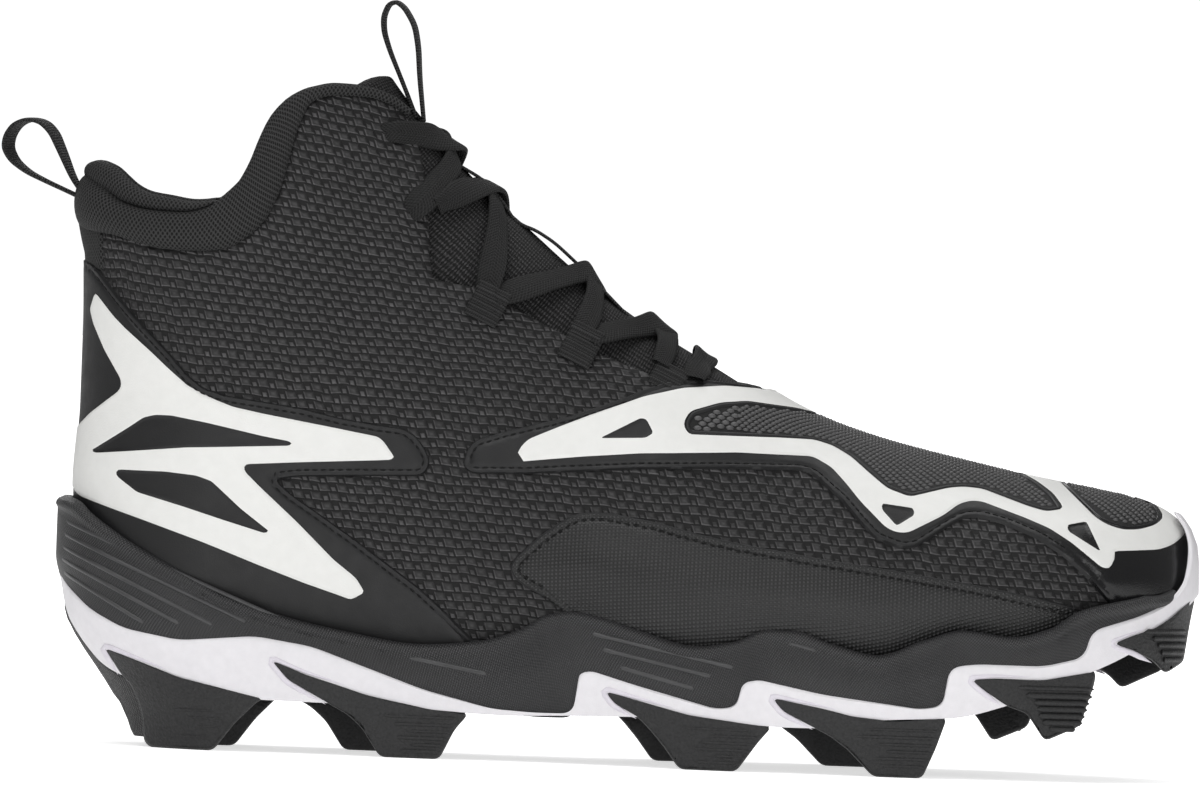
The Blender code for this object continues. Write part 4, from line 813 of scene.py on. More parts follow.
# The plugs are lighter towards the heel, plus the painted highlight along their bottom.
x, _, _ = coordinates(tree, "Object")
plug_tone_and_glint = ramp(tree, x, -0.06, 0.02, 0.42, 0.16)
plug_tone_and_glint = calc(tree, "MULTIPLY_ADD", under, 0.3, plug_tone_and_glint)
light = calc(tree, "MULTIPLY_ADD", plug, plug_tone_and_glint, calc(tree, "MULTIPLY", pillow, pillow_glints))
uneven = ramp(tree, noise(tree, 0.45, 3.0, "UV"), 0.3, 0.7, 0.5, 1.4)
body = calc(tree, "MAXIMUM", ramp(tree, edge, 1.05, 0.55), calc(tree, "MULTIPLY", plug, 0.75))
bump(tree, shader, calc(tree, "MULTIPLY_ADD", light, 0.35, body), 0.5, 0.8)
# The weave's colour is these painted highlights, made uneven by noise.
tint(tree, shader, calc(tree, "MULTIPLY", light, uneven), (0.0045, 0.0044, 0.0045), (0.112, 0.109, 0.112))
tree.links.new(ramp(tree, body, 0.2, 0.9, 0.75, 0.45), shader.inputs["Roughness"])
lining, tree, shader = start_look("lining_cloth", (0.018, 0.018, 0.018), 0.9, 0.3)
bump(tree, shader, noise(tree, 900.0, 3.0), 0.2)

flat, triangles = cut_sheet(upper_outline(), 2.4)
shell = [skin_patch(flat, triangles, side, np.zeros(len(flat)), 0, None) for side in (-1, 1)]
upper = add_piece("upper_shell", shell, [cloth, lining], ["upper"], 60, weld=0.05,
                  outward=((0.0, -0.042, 0.06), (0, -1, 0)))
wall = upper.modifiers.new("wall", "SOLIDIFY")
wall.thickness = WALL * MM
wall.offset = -1.0
wall.material_offset = 1
wall.material_offset_rim = 1

# COLLAR
# Two padded rolls of black spacer mesh sewn to the top edge of the upper: a thick outer roll and, behind it,
# the roll of the lining that rises over the heel. The outer roll thins out up the front.
COLLAR = table("low_x low_z top_x top_z swell depth split", [
    (1.2, 135.6, 1.2, 153.6, 4.4, 7, 0.83), (2.3, 135.5, 2.3, 153.9, 4.4, 7, 0.77),
    (5, 135.2, 5, 153, 4.2, 7, 0.68), (9.5, 134.7, 9.5, 149.8, 3.6, 7, 0.61),
    (12, 134, 12, 148, 3.4, 7, 0.64), (16.5, 132.9, 16.5, 146.1, 3.2, 7, 0.69),
    (22.5, 131.8, 22.5, 145.2, 3.1, 7, 0.73), (29, 131.6, 29, 144.4, 3, 7, 0.8),
    (33, 131.8, 32.8, 144.7, 3, 6.8, 0.87), (36.5, 132.1, 36, 145.6, 3, 6.5, 0.96),
    (39, 133.2, 38, 146.9, 3, 6.3, 0.99), (41, 134.4, 39.6, 148.3, 2.9, 6.2, 1),
    (44, 136.7, 41.5, 150.5, 2.8, 6, 1), (46.5, 139.2, 43, 153.2, 2.7, 5.8, 1),
    (49, 142, 44.5, 156.3, 2.6, 5.5, 1), (52.5, 150, 47, 162.5, 2.3, 5, 1),
    (54.5, 158.5, 50, 168.5, 2, 4.5, 1), (56.3, 166.3, 54, 172.7, 1.6, 4, 1),
    (59, 172.6, 59, 175.3, 1.3, 2.6, 1), (66, 174.6, 66, 176.7, 1.1, 2.1, 1),
    (74, 174.3, 74.5, 176.3, 1, 2, 1), (80, 172.4, 81, 174.3, 1, 2, 1), (84, 169.6, 86, 170.8, 1, 2, 1)])
MESH_ACROSS, MESH_UP = 1.2, 1.7


def squared_off(wave, power):
    """Sine or cosine with fuller or sharper rounds: sign(w) |w|^power."""
    return np.sign(wave) * np.abs(wave) ** power


def collar_roll(inner):
    """Roll as an ellipse carried round the opening: half its height along the rise, half its puff outward."""
    heel_part, front_part = np.linspace(0, 62, 56), np.linspace(63, 106.8, 60)
    w = np.linspace(0, 63, 58) if inner else np.concatenate([heel_part, front_part])
    sides = []
    for side in (-1, 1):
        x = unrolled_x(w)
        x = np.minimum(x + 1.2 * (1 - ease(x / 60.0)), 84.0)
        top_x, top_z, swell, depth, split = (curve(COLLAR, key, x, "low_x")
                                             for key in ("top_x", "top_z", "swell", "depth", "split"))
        low_z = curve(UPPER_EDGE, "z", x) - 0.6
        start, end = (split - 0.1 * (1 - ease(x / 14.0)), 1 + 0 * split) if inner else (0 * split, split)
        share = (start + end) / 2
        half = np.hypot(top_x - x, top_z - low_z) * (end - start) / 2
        px, pz = x + (top_x - x) * share, low_z + (top_z - low_z) * share
        rise = np.stack([top_x - x, 0 * x, top_z - low_z], axis=-1)
        ahead = np.stack([np.gradient(px), np.gradient(upper_y(px, pz, side)), 0 * px], axis=-1)
        puff = (depth * 0.36 + 0.4) * rounded_end((1 - split) / 0.12, 2.0) if inner else swell * 0.75 + 1.1
        set_in = depth * 0.42 - 1.3 * (1 - ease(x / 8.0)) if inner else swell * 0.1 + 0.4
        pz = pz - 0.7 * ease((split - 0.9) / 0.1) if inner else pz
        middle = np.stack([px, upper_y(px, pz, side), pz], axis=-1)
        sides.append([middle, unit(rise), ahead * -side, half, puff, set_in])
    line, rise, ahead, half, puff, set_in = (np.concatenate([a[::-1], b[1:]]) for a, b in zip(*sides))
    ahead[len(w) - 1] = (0, 1, 0)
    out = unit(np.cross(ahead, (0.0, 0.0, 1.0)))
    out *= np.sign(np.sum(out * (line - (48.0, 0.0, 0.0)) * (1, 1, 0), axis=-1, keepdims=True))
    turn = np.linspace(-math.pi, math.pi, 33)
    grow = 1.08 if inner else 1.02
    side_way = squared_off(np.cos(turn), 0.9)
    points = (line[:, None] + (half * grow)[:, None, None] * np.sin(turn)[:, None] * rise[:, None]
              + (puff[:, None] * side_way - set_in[:, None])[..., None] * out[:, None])
    along = lengths(line)
    girth = np.cumsum(np.linalg.norm(np.diff(points, axis=1, prepend=points[:, :1]), axis=-1), axis=1)
    uv = np.stack(np.broadcast_arrays(along[:, None], girth - girth[:, 16:17]), axis=-1)
    return points, quads(len(line), len(turn)), uv, 0


mesh_cloth, tree, shader = start_look("spacer_mesh", (0.016, 0.016, 0.016), 0.85, 0.35)
u, v, _ = coordinates(tree)
left, right = (stripes(tree, u, v, way * MESH_ACROSS / MESH_UP, math.pi / MESH_ACROSS) for way in (1, -1))
holes = calc(tree, "MULTIPLY", calc(tree, "MULTIPLY", left, left), calc(tree, "MULTIPLY", right, right))
bump(tree, shader, ramp(tree, holes, 0.5, 0.08), 0.4, 0.9)
tint(tree, shader, ramp(tree, holes, 0.5, 0.06), (0.0015, 0.0015, 0.0015), (0.033, 0.033, 0.033))
outer_roll = add_piece("collar_outer_roll", [collar_roll(False)], [mesh_cloth], ["collar"], 80)
inner_roll = add_piece("collar_inner_roll", [collar_roll(True)], [mesh_cloth], (), 80)
HEEL_STRIP = [(0.2, 138), (5, 137.6), (5.9, 133), (6.3, 125), (3.5, 126), (0.2, 127)]
strip = skin_place(HEEL_STRIP)
strip[[0, -1], 0] = 0.0
flat, triangles = cut_sheet(rounded(strip, 0.05, 0.7), 1.0)
lift = 0.7 * rounded_end(distance(flat, strip) / 0.9, 2.0) - 0.1
lift = lift + 1.6 * np.clip((skin(*flat.T, -1)[:, 2] - 129.5) / 8.0, 0.0, 1.2) * (1 - ease(flat[:, 0] / 17.0))
strips = [skin_patch(flat, triangles, side, lift) for side in (-1, 1)]
add_piece("collar_heel_strip", strips, [mesh_cloth], (), 70, weld=0.05)

# TONGUE
# Padded tongue of black spacer knit, sewn in under the vamp; thick and rounded at its top.
THROAT_DEPTH = 30.0
LEAN = table("x degrees", [
    (78, 86), (83, 80), (88, 63), (96, 52), (110, 43), (130, 38), (150, 31), (170, 28), (196, 22)])


def throat_point(x, across):
    """Place from a ridge point down the leaning section: depth = D (1 - cos(pi/2 |across|))."""
    lean = np.radians(curve(LEAN, "degrees", x))
    depth = THROAT_DEPTH * (1 - np.cos(np.abs(across) * math.pi / 2))
    px, pz = x - depth * np.sin(lean), ridge_z(x) - depth * np.cos(lean)
    return np.stack([px, np.where(across < 0, upper_y(px, pz, -1), upper_y(px, pz, 1)), pz], axis=-1)


def throat_frame(x, across):
    """Place and outward normal on the dome over the throat."""
    x, across = np.asarray(x, float), np.asarray(across, float)
    along = throat_point(x + 0.6, across) - throat_point(x - 0.6, across)
    over = throat_point(x, across + 0.03) - throat_point(x, across - 0.03)
    normal = unit(np.cross(along, over))
    return throat_point(x, across), normal * np.sign(normal[..., 2:3] + normal[..., 0:1])


def tongue_grid():
    """Slab under the dome with round edges: outer side, inner side and a half-round top end."""
    end = np.linspace(0, math.pi / 2, 9)
    x = np.concatenate([np.full(9, 83.4), np.linspace(84.5, 192, 90)])
    shut = np.concatenate([np.sin(end), np.ones(90)])
    past = np.concatenate([np.cos(end), np.zeros(90)])
    turn = np.linspace(0, 2 * math.pi, 73)[:-1]
    across, level = squared_off(np.cos(turn), 0.55), squared_off(np.sin(turn), 0.45)
    grid_q = (0.86 + 0.13 * ease((x - 86) / 8))[:, None] * across
    grid_x = x[:, None] + 5.5 * np.abs(across) ** 3 * (1 - ease((x - 84) / 26))[:, None]
    points, normals = throat_frame(grid_x, grid_q)
    full = 2.3 + 1.6 * ease((100 - x) / 16)
    sink = 4.4 + (full - 2.3) + 1.2 * ease((100 - x) / 16)
    ahead = unit(throat_point(grid_x - 0.5, grid_q) - throat_point(grid_x + 0.5, grid_q))
    place = (points + normals * (level[None, :] * (full * shut)[:, None] - sink[:, None])[..., None]
             + ahead * (2.6 * past)[:, None, None])
    along = lengths(place[:, 18])
    uv = np.stack(np.broadcast_arrays(along[:, None], across[None, :] * 34), axis=-1)
    return place, quads(len(x), len(turn), False, True), uv, 0


knit, tree, shader = start_look("tongue_knit", (0.014, 0.014, 0.014), 0.85, 0.35)
u, v, _ = coordinates(tree)
left, right = (stripes(tree, u, v, lean, 4.2) for lean in (0.6, -0.6))
speckle = calc(tree, "SUBTRACT", noise(tree, 2.0, 3.0, "UV"), 0.5)
cells = calc(tree, "MULTIPLY_ADD", speckle, 3.2, calc(tree, "MULTIPLY", left, right))
bump(tree, shader, ramp(tree, cells, -0.5, 0.8), 0.6, 0.9)
tint(tree, shader, ramp(tree, cells, -0.4, 0.9), (0.003, 0.003, 0.003), (0.055, 0.054, 0.055))
tongue = add_piece("tongue_pad", [tongue_grid()], [knit], ["tongue"], 80)

# FILM OVERLAYS
# Heel counter, vamp and toe cover of black satin film fused on the weave, with warm white printed bands,
# a bead round two dotted windows, and a row of stitches just inside the free edge.
FILM_LIFT, PRINT_LIFT = 1.05, 0.3
SEAM_IN, GROOVE, TOE_FULL = 1.75, 0.4, 2.2
COUNTER = [(1.8, 128.4), (5, 125.5), (10, 119.5), (15, 114), (20, 109), (25, 104), (30, 98.5), (34, 95.5),
           (40, 93.8), (50, 92.5), (60, 91.2), (70, 89), (80, 87.5), (87, 86.8), (90, 85.3), (92.5, 82.5),
           (94.5, 79), (94, 76), (92, 74.3), (75, 73.7), (60, 73), (54, 72), (58, 68.5), (65, 64),
           (75, 57.5), (85, 50.5), (93, 45), (100, 39), (108.5, 31)]
HEEL_WHITE = [(5, 119), (4, 115), (5, 111), (8, 104.5), (12.5, 97), (12.8, 95), (12, 93.5), (9, 91),
              (5, 87.5), (2, 84), (0.3, 81), (-1, 76), (0, 72), (1.3, 67), (3, 65.5), (10, 63.2),
              (20, 60), (35, 55), (50, 49.5), (62, 45.3), (75, 41.3), (78.5, 43.3), (76, 47), (70, 51.5),
              (60, 61), (50, 69.8), (46, 73.5), (45.3, 74.8), (46, 75.8), (60, 76.8), (84, 78.3),
              (85, 79), (82, 83), (80.5, 84.2), (70, 86), (50, 89.2), (42, 90.7), (37, 92.5), (30, 95.8),
              (25, 100), (20, 104.5), (13, 110.5), (10, 113.5), (5.5, 119)]
HEEL_BLACK = [[(5.8, 77.5), (15, 84), (19, 87), (22, 87.8), (26, 87.8), (35, 86.3), (50, 83.3), (57, 82.2),
               (58, 81.5), (57, 81), (30, 79.5), (7, 77)],
              [(12.3, 72), (13, 73), (25, 73), (33, 72.3), (37, 71), (45, 64), (52.8, 58.3), (51.5, 57.8),
               (40, 61), (30, 64), (18, 67.3), (13, 71)]]
VAMP_TOP = [(103, 78.5), (104, 82), (106, 84.5), (115, 87.5), (130, 91.5), (137, 94), (145, 97),
            (150, 99.3), (156, 101.2), (165, 102), (176, 100.8), (183.5, 99.3)]
VAMP_LOW = [(277, 45), (275.5, 46.5), (268, 54.5), (262, 59.5), (255, 63.8), (247, 67), (240, 68.8),
            (236, 68.7), (232, 66.5), (223, 60.5), (219, 60), (212, 62.5), (208, 66.5), (203, 72),
            (195, 78.7), (192, 79.5), (170, 79.2), (150, 78.4), (120, 76), (106, 75.5), (104, 76.3),
            (103, 78)]
WHITE_HIGH = [(117.5, 81.4), (118.2, 83), (120, 85), (130, 89.3), (137, 92.3), (150, 97), (160, 99.4),
              (171, 100.2), (181, 99.4)]
WHITE_DEEP = [(292, 64.6), (290.6, 63.2), (288.8, 61.9), (286, 60.9), (275, 60.7), (275.3, 59),
              (274, 56.3), (272, 56.5), (264, 62.5), (258, 66), (252, 68.3), (240, 72.3), (237, 72.4),
              (234, 71.5), (230, 68.5), (221, 63.9), (218, 63.8), (215, 65), (208, 71.5), (204, 76),
              (200, 80), (195, 82.6), (175, 83.2), (150, 82.3), (135, 81), (119, 79.2)]
WINDOW_LOW = [(250, 79.5), (255, 77.1), (259, 74.4), (261.9, 70.7), (257, 69.9), (252, 71.2), (240, 75.2),
              (235, 75.6), (231, 75.2), (221, 72.7), (215, 74.7), (210, 78.5), (205, 82.5), (200, 85.2),
              (195, 86.6), (185, 87), (162, 87.4), (160.5, 90), (162, 93.3), (170, 95.7), (177, 96.2),
              (190, 94.5), (195, 93.3)]
TOE_WINDOW_LOW = [(281, 74.3), (285, 72), (287.2, 68.3), (285, 66.6), (281, 65.7), (277, 65.8), (273, 67.1),
                  (270, 68.8), (267, 71.6), (261, 77)]
CHIPS = [[(139, 85.8), (149.5, 91.3), (151, 91), (153, 87.5), (151, 86.2)],
         [(213.6, 70.9), (222, 69.9), (222.4, 68.2), (217.8, 65.3), (213.8, 69.3)],
         [(262.6, 66.7), (267.7, 67.7), (271.5, 60.3), (262.9, 65.2)]]


def ridge_run(start, end, past, count=40):
    """Line along the ridge between two places of the side view, let out past it."""
    w = np.linspace(*skin_place([(start, 300.0), (end, 300.0)])[:, 0], count)
    return np.stack([w, ridge_q(w) + past], axis=-1)


def past_heel(line):
    """Points on the heel line moved out past it, so that both sides' bands meet there."""
    return np.where((line[:, :1] < 1.0), np.stack([np.full(len(line), -5.0), line[:, 1]], axis=-1), line)


def side_line(points, radius=1.5, step=0.9, closed=False):
    """Rounded side-view line as lengths on the skin."""
    return skin_place(rounded(points, radius, step, closed))


def toe_full(w):
    """Extra height of the toe cover, growing towards the tip."""
    return TOE_FULL * ease((w - SKIN_END + 42.0) / 32.0)


def film_lift(flat, free, prints, full):
    """Height over the weave: rolled free edge, sewn groove, each print raised or sunk, fuller at the toe."""
    gap = distance(flat, free)
    height = -0.15 + (full + 0.15) * rounded_end(gap / 0.9, 2.0)
    height = height - GROOVE * np.exp(-((gap - SEAM_IN) / 0.5) ** 2)
    for outline, _, rise in prints:
        gap = distance(flat, np.concatenate([outline, outline[:1]]))
        height = height + rise * np.where(inside(flat, outline), rounded_end((gap - 0.02) / 0.6, 2.0), 0.0)
    return height + toe_full(flat[:, 0])


def film(name, free, closing, prints, looks, nodes, full=FILM_LIFT, swell=0.0):
    """Sheet cut on both sides of the shoe, welded where they meet; look of a face by the print it lies in."""
    outline = np.concatenate([free, closing])
    flat, faces = cut_sheet(outline, 1.5, [p for p, _, _ in prints], 0.45)
    height, middle = film_lift(flat, free, prints, full), flat[faces].mean(axis=1)
    height = height + swell * ease(distance(flat, free) / 24.0) * ease((distance(flat, closing) - 2.0) / 20.0)
    which = np.zeros(len(faces), int)
    for line, look, _ in prints:
        which = np.where(inside(middle, line), look, which)
    patches = [skin_patch(flat, faces, side, height, which) for side in (-1, 1)]
    return add_piece(name, patches, looks, nodes, 45, weld=0.06)


def shifted(line, amount):
    """Line moved to its left by an amount."""
    return line + left_of(line) * amount


def stitch_row(line, lift, pitch=2.3, size=1.6, thick=0.22):
    """Short rounded threads along a line on both sides: ellipsoid rings about each stitch's own direction."""
    run = lengths(line)
    at = np.arange(pitch, run[-1] - pitch / 2, pitch)
    spot = np.stack([np.interp(at, run, line[:, k]) for k in (0, 1)], axis=-1)
    next_spot = np.stack([np.interp(at + 0.4, run, line[:, k]) for k in (0, 1)], axis=-1)
    t = np.array([-1.0, -0.8, -0.3, 0.3, 0.8, 1.0])
    turn = np.linspace(0, 2 * math.pi, 7)[:-1]
    patches = []
    for side in (-1, 1):
        here, normal = skin_frame(spot[:, 0], spot[:, 1], side)
        ahead = unit(skin(next_spot[:, 0], next_spot[:, 1], side) - here)
        across = np.cross(normal, ahead)
        girth = thick * np.sqrt(np.maximum(1 - t ** 2, 0.0)) + 0.02
        points = (here[:, None, None] + normal[:, None, None] * lift
                  + (t * size / 2)[None, :, None, None] * ahead[:, None, None]
                  + girth[None, :, None, None] * (np.cos(turn)[:, None] * normal[:, None, None]
                                                  + np.sin(turn)[:, None] * across[:, None, None]))
        every = copies(quads(len(t), len(turn), False, True), len(t) * len(turn), len(spot))
        patches.append((points, every, points[..., [0, 2]], 0))
    return patches


def bead_grid(line, radius, lift):
    """Half-round bead along a line on both sides."""
    turn = np.linspace(0, math.pi, 9)
    patches = []
    for side in (-1, 1):
        here, normal = skin_frame(line[:, 0], line[:, 1], side)
        across = unit(np.cross(normal, np.gradient(here, axis=0)))
        high = (lift + toe_full(line[:, 0]))[:, None] + radius * np.sin(turn)
        points = (here[:, None] + normal[:, None] * high[..., None]
                  + across[:, None] * (radius * np.cos(turn))[:, None])
        patches.append((points, quads(len(line), len(turn)), points[..., [0, 2]], 0))
    return patches


def dots(outlines, pitch, radius, height, lift, start=0.0, end=SKIN_END):
    """Low domes in offset rows inside outlines on both sides: h cos(t) high at radius r sin(t)."""
    corners = np.concatenate(outlines)
    low, high = corners.min(axis=0), corners.max(axis=0)
    along, up = np.arange(low[0], high[0], pitch), np.arange(low[1], high[1], pitch * 0.8)
    x, y = np.meshgrid(along, up, indexing="ij")
    x = x + (np.arange(y.shape[1]) % 2) * pitch / 2
    spots = np.stack([x, y], axis=-1).reshape(-1, 2)
    keep = np.zeros(len(spots), bool)
    for line in outlines:
        keep |= inside(spots, line) & (distance(spots, np.concatenate([line, line[:1]])) > radius + 1.5)
    keep &= (spots[:, 1] < ridge_q(spots[:, 0]) - 0.4) & (spots[:, 0] > start) & (spots[:, 0] < end)
    spots = spots[keep]
    lift = lift + toe_full(spots[:, 0])
    t, turn = np.linspace(0, math.pi / 2, 4), np.linspace(0, 2 * math.pi, 9)[:-1]
    patches = []
    for side in (-1, 1):
        here, normal = skin_frame(spots[:, 0], spots[:, 1], side)
        level = unit(np.cross(normal, (0.0, 0.0, 1.0)))
        rise = np.cross(normal, level)
        round_part = (1.25 * np.cos(turn)[:, None] * level[:, None, None]
                      + 0.85 * np.sin(turn)[:, None] * rise[:, None, None])
        flat_part = (radius * np.sin(t))[None, :, None, None] * round_part
        high = lift[:, None] + height * np.cos(t)
        points = here[:, None, None] + normal[:, None, None] * high[..., None, None] + flat_part
        every = copies(quads(len(t), len(turn), False, True), len(t) * len(turn), len(spots))
        patches.append((points, every, points[..., [0, 2]], 0))
    return patches


satin, tree, shader = start_look("satin_film", (0.011, 0.011, 0.0115), 0.34, 0.35)
bump(tree, shader, noise(tree, 2400.0, 3.0), 0.05)
x, _, _ = coordinates(tree, "Object")
gloss = ramp(tree, noise(tree, 260.0, 3.0), 0.3, 0.7, 0.42, 0.56)
toe_gloss = calc(tree, "MULTIPLY", gloss, ramp(tree, x, 0.118, 0.136, 1.0, 0.36))
tree.links.new(toe_gloss, shader.inputs["Roughness"])
print_white, tree, shader = start_look("white_print", (0.76, 0.76, 0.74), 0.4, 0.4)
tint(tree, shader, noise(tree, 300.0, 3.0), (0.72, 0.72, 0.70), (0.79, 0.79, 0.77))
bump(tree, shader, noise(tree, 2200.0, 2.0), 0.05)
window_floor, tree, shader = start_look("window_floor", (0.006, 0.006, 0.006), 0.6, 0.3)
bump(tree, shader, noise(tree, 1600.0, 3.0), 0.12)
window_black, tree, shader = start_look("window_dots", (0.072, 0.071, 0.072), 0.45, 0.5)
bump(tree, shader, noise(tree, 1600.0, 3.0), 0.12)
thread_black, tree, shader = start_look("sewing_thread", (0.007, 0.007, 0.007), 0.7, 0.3)
u, v, _ = coordinates(tree)
bump(tree, shader, stripes(tree, u, v, 1.0, 14.0), 0.06)

counter_free = side_line(COUNTER)
counter_free[0, 0] = 0.0
heel_low = np.linspace(107.5, 2.0, 110)
counter_close = np.concatenate([
    skin_place(np.stack([heel_low, curve(SOLE_TOP, "z", heel_low) - 3.0], axis=-1)),
    np.stack([np.zeros(45), np.linspace(30.0, counter_free[0, 1] - 1, 45)], axis=-1)])
counter_prints = [(past_heel(side_line(HEEL_WHITE, 1.0, 0.8, True)), 1, PRINT_LIFT)]
counter_prints += [(side_line(p, 0.8, 0.8, True), 0, -PRINT_LIFT) for p in HEEL_BLACK]
film("heel_counter_film", counter_free, counter_close, counter_prints, [satin, print_white], ["heel_counter"])

vamp_high, vamp_low = side_line(VAMP_TOP), side_line(VAMP_LOW)
toe_low = np.linspace(292.5, 278.0, 20)
vamp_close = np.concatenate([
    ridge_run(184.5, UPPER_TOE, 0.0, 80), np.stack([np.full(6, SKIN_END), np.linspace(13, 2, 6)], axis=-1),
    skin_place(np.stack([toe_low, np.minimum(curve(SOLE_TOP, "z", toe_low) - 3.0, 49.0)], axis=-1))])
white_band = np.concatenate([side_line(WHITE_HIGH), ridge_run(185.0, 293.5, 5.0), [(SKIN_END + 5, 26.0)],
                             [(SKIN_END + 5, 21.0)], side_line(WHITE_DEEP)])
window = np.concatenate([side_line(WINDOW_LOW), ridge_run(198.0, 250.0, 5.0)])
toe_window = np.concatenate([side_line(TOE_WINDOW_LOW), ridge_run(261.5, 280.5, 5.0)])
vamp_prints = [(white_band, 1, PRINT_LIFT), (window, 2, -PRINT_LIFT), (toe_window, 2, -PRINT_LIFT)]
vamp_prints += [(side_line(p, 0.7, 0.7, True), 0, -PRINT_LIFT) for p in CHIPS]
film("vamp_film", np.concatenate([vamp_low[:-1], vamp_high]), vamp_close, vamp_prints,
     [satin, print_white, window_floor], ["vamp_overlay"])
window_rims = []
for points in (WINDOW_LOW, TOE_WINDOW_LOW):
    line = shifted(side_line(points), -0.95)
    window_rims += bead_grid(line[line[:, 1] < ridge_q(line[:, 0]) - 1.2], 0.75, 0.7)
add_piece("window_beads", window_rims, [satin], (), 60)
BIG_DOTS_END, DOT_LIFT = 198.0, 0.95
window_dots = dots([window], 2.4, 0.95, 0.6, DOT_LIFT, end=BIG_DOTS_END)
window_dots += dots([window, toe_window], 1.8, 0.7, 0.55, DOT_LIFT, BIG_DOTS_END)
add_piece("window_dots", window_dots, [window_black], (), 70)
rows = [p for line in (COUNTER[1:-1], VAMP_TOP[:7], VAMP_LOW[3:])
        for p in stitch_row(shifted(side_line(line), -SEAM_IN), FILM_LIFT - GROOVE + 0.08)]
add_piece("film_stitches", rows, [thread_black], (), 70)

# SIDE PANELS
# Panels of fine coated mesh low on both sides, sewn on with a piped edge above the black cup.
SIDE_PANEL = [(134, 38), (126, 44), (121, 46.5), (118, 48.5), (116.5, 51.3), (118, 54), (125, 60.5),
              (130, 64), (133, 65.8), (137, 66.5), (142, 66.5), (155, 64.5), (165, 62), (175, 60),
              (195, 57), (215, 54.5), (235, 51.8), (255, 48.5), (265, 46.3), (268.5, 43.5)]
PANEL_LIFT, PANEL_SWELL, PANEL_PITCH = 0.8, 2.6, (1.05, 1.0)
fine_mesh, tree, shader = start_look("fine_mesh", (0.022, 0.022, 0.023), 0.46, 0.5)
u, v, _ = coordinates(tree)
across, along = (calc(tree, "SINE", calc(tree, "MULTIPLY", way, math.pi / pitch))
                 for way, pitch in zip((u, v), PANEL_PITCH))
cells = calc(tree, "MULTIPLY", calc(tree, "MULTIPLY", across, across), calc(tree, "MULTIPLY", along, along))
bump(tree, shader, ramp(tree, cells, 0.1, 0.8), 0.3, 0.9)
tint(tree, shader, ramp(tree, cells, 0.2, 0.8), (0.006, 0.006, 0.006), (0.052, 0.052, 0.053))
panel_free = side_line(SIDE_PANEL, 3.0)
panel_bottom = np.linspace(267.5, 135.0, 120)
panel_close = skin_place(np.stack([panel_bottom, curve(SOLE_TOP, "z", panel_bottom) - 3.5], axis=-1))
film("side_panels", panel_free, panel_close, [], [fine_mesh], ["side_panel_lateral", "side_panel_medial"],
     PANEL_LIFT, PANEL_SWELL)
piping = side_line(SIDE_PANEL[1:-1], 3.0)
add_piece("side_panel_piping", bead_grid(shifted(piping, -0.3), 0.5, 0.1), [satin], (), 70)
panel_seam = stitch_row(shifted(piping, -2.0), PANEL_LIFT + 0.05)
add_piece("side_panel_stitches", panel_seam, [thread_black], (), 70)

# LACE TABS
# Short ribbed webbing tabs folded over and sewn to the upper beside the throat; the lace runs through them.
TABS = [((108.5, 121.0), 6.0, 1.0), ((133.5, 111.0), 6.0, 1.0), ((156.2, 102.0), 2.6, 0.45)]
TAB_HALF, TAB_WAY = 4.6, (0.43, 0.9)


def tab_grid(place, reach, rise, side):
    """Webbing strip up the side, over the lace and back: lift by place along the strip, ribs across it."""
    t = np.linspace(0, 1, 61)
    run = np.interp(t, [0, 0.62, 0.8, 0.9, 1.0], [reach, -0.8, -2.6, -3.2, -2.6])
    lift = np.interp(t, [0, 0.05, 0.5, 0.7, 0.82, 0.92, 1.0], [0.2, 0.9, 1.3, 2.6, 2.6, 1.8, 0.4])
    lift = lift * rise
    run, lift = (np.convolve(np.pad(a, 3, mode="edge"), np.ones(7) / 7, "valid") for a in (run, lift))
    ribs = 0.26 * np.sin(run * 2 * math.pi / 1.5)
    across = np.linspace(-1, 1, 13)
    x = (place[0] - TAB_WAY[0] * run)[:, None] + TAB_WAY[1] * TAB_HALF * across
    z = (place[1] - TAB_WAY[1] * run)[:, None] - TAB_WAY[0] * TAB_HALF * across
    flat = skin_place(np.stack([x.ravel(), z.ravel()], axis=-1))
    here, normal = skin_frame(flat[:, 0], flat[:, 1], side)
    edge = 0.45 * np.abs(across) ** 8
    height = (lift + ribs)[:, None] - edge
    points = here.reshape(*x.shape, 3) + normal.reshape(*x.shape, 3) * height[..., None]
    uv = np.stack(np.broadcast_arrays(TAB_HALF * across[None, :], run[:, None]), axis=-1)
    return points, quads(*x.shape), uv, 0


webbing, tree, shader = start_look("webbing", (0.011, 0.011, 0.011), 0.75, 0.35)
u, v, _ = coordinates(tree)
ribs = calc(tree, "SINE", calc(tree, "MULTIPLY", v, 8.4))
height = calc(tree, "MULTIPLY_ADD", stripes(tree, u, v, 4.2 / 11.0, 11.0), 0.5, ribs)
bump(tree, shader, height, 0.14)
tint(tree, shader, ramp(tree, height, -1.2, 1.2), (0.004, 0.004, 0.004), (0.032, 0.032, 0.032))
tab_nodes = [f"lace_loop_{k}_{s}" for k in (1, 2, 3) for s in ("lateral", "medial")]
tab_grids = [tab_grid(*tab, side) for tab in TABS for side in (-1, 1)]
tabs = add_piece("lace_tabs", tab_grids, [webbing], tab_nodes, 60,
                 outward=((-0.0293, -0.03, 0.121), (0, -1, 0.3)))
body = tabs.modifiers.new("thickness", "SOLIDIFY")
body.thickness = 0.7 * MM
body.offset = 0.0

# LACE
# One flat woven lace, threaded through the two top eyelets and three tabs on each side; its ends go in at the
# top eyelets and stay inside the shoe.
LACE_HALF, LACE_THICK = 3.5, 1.0
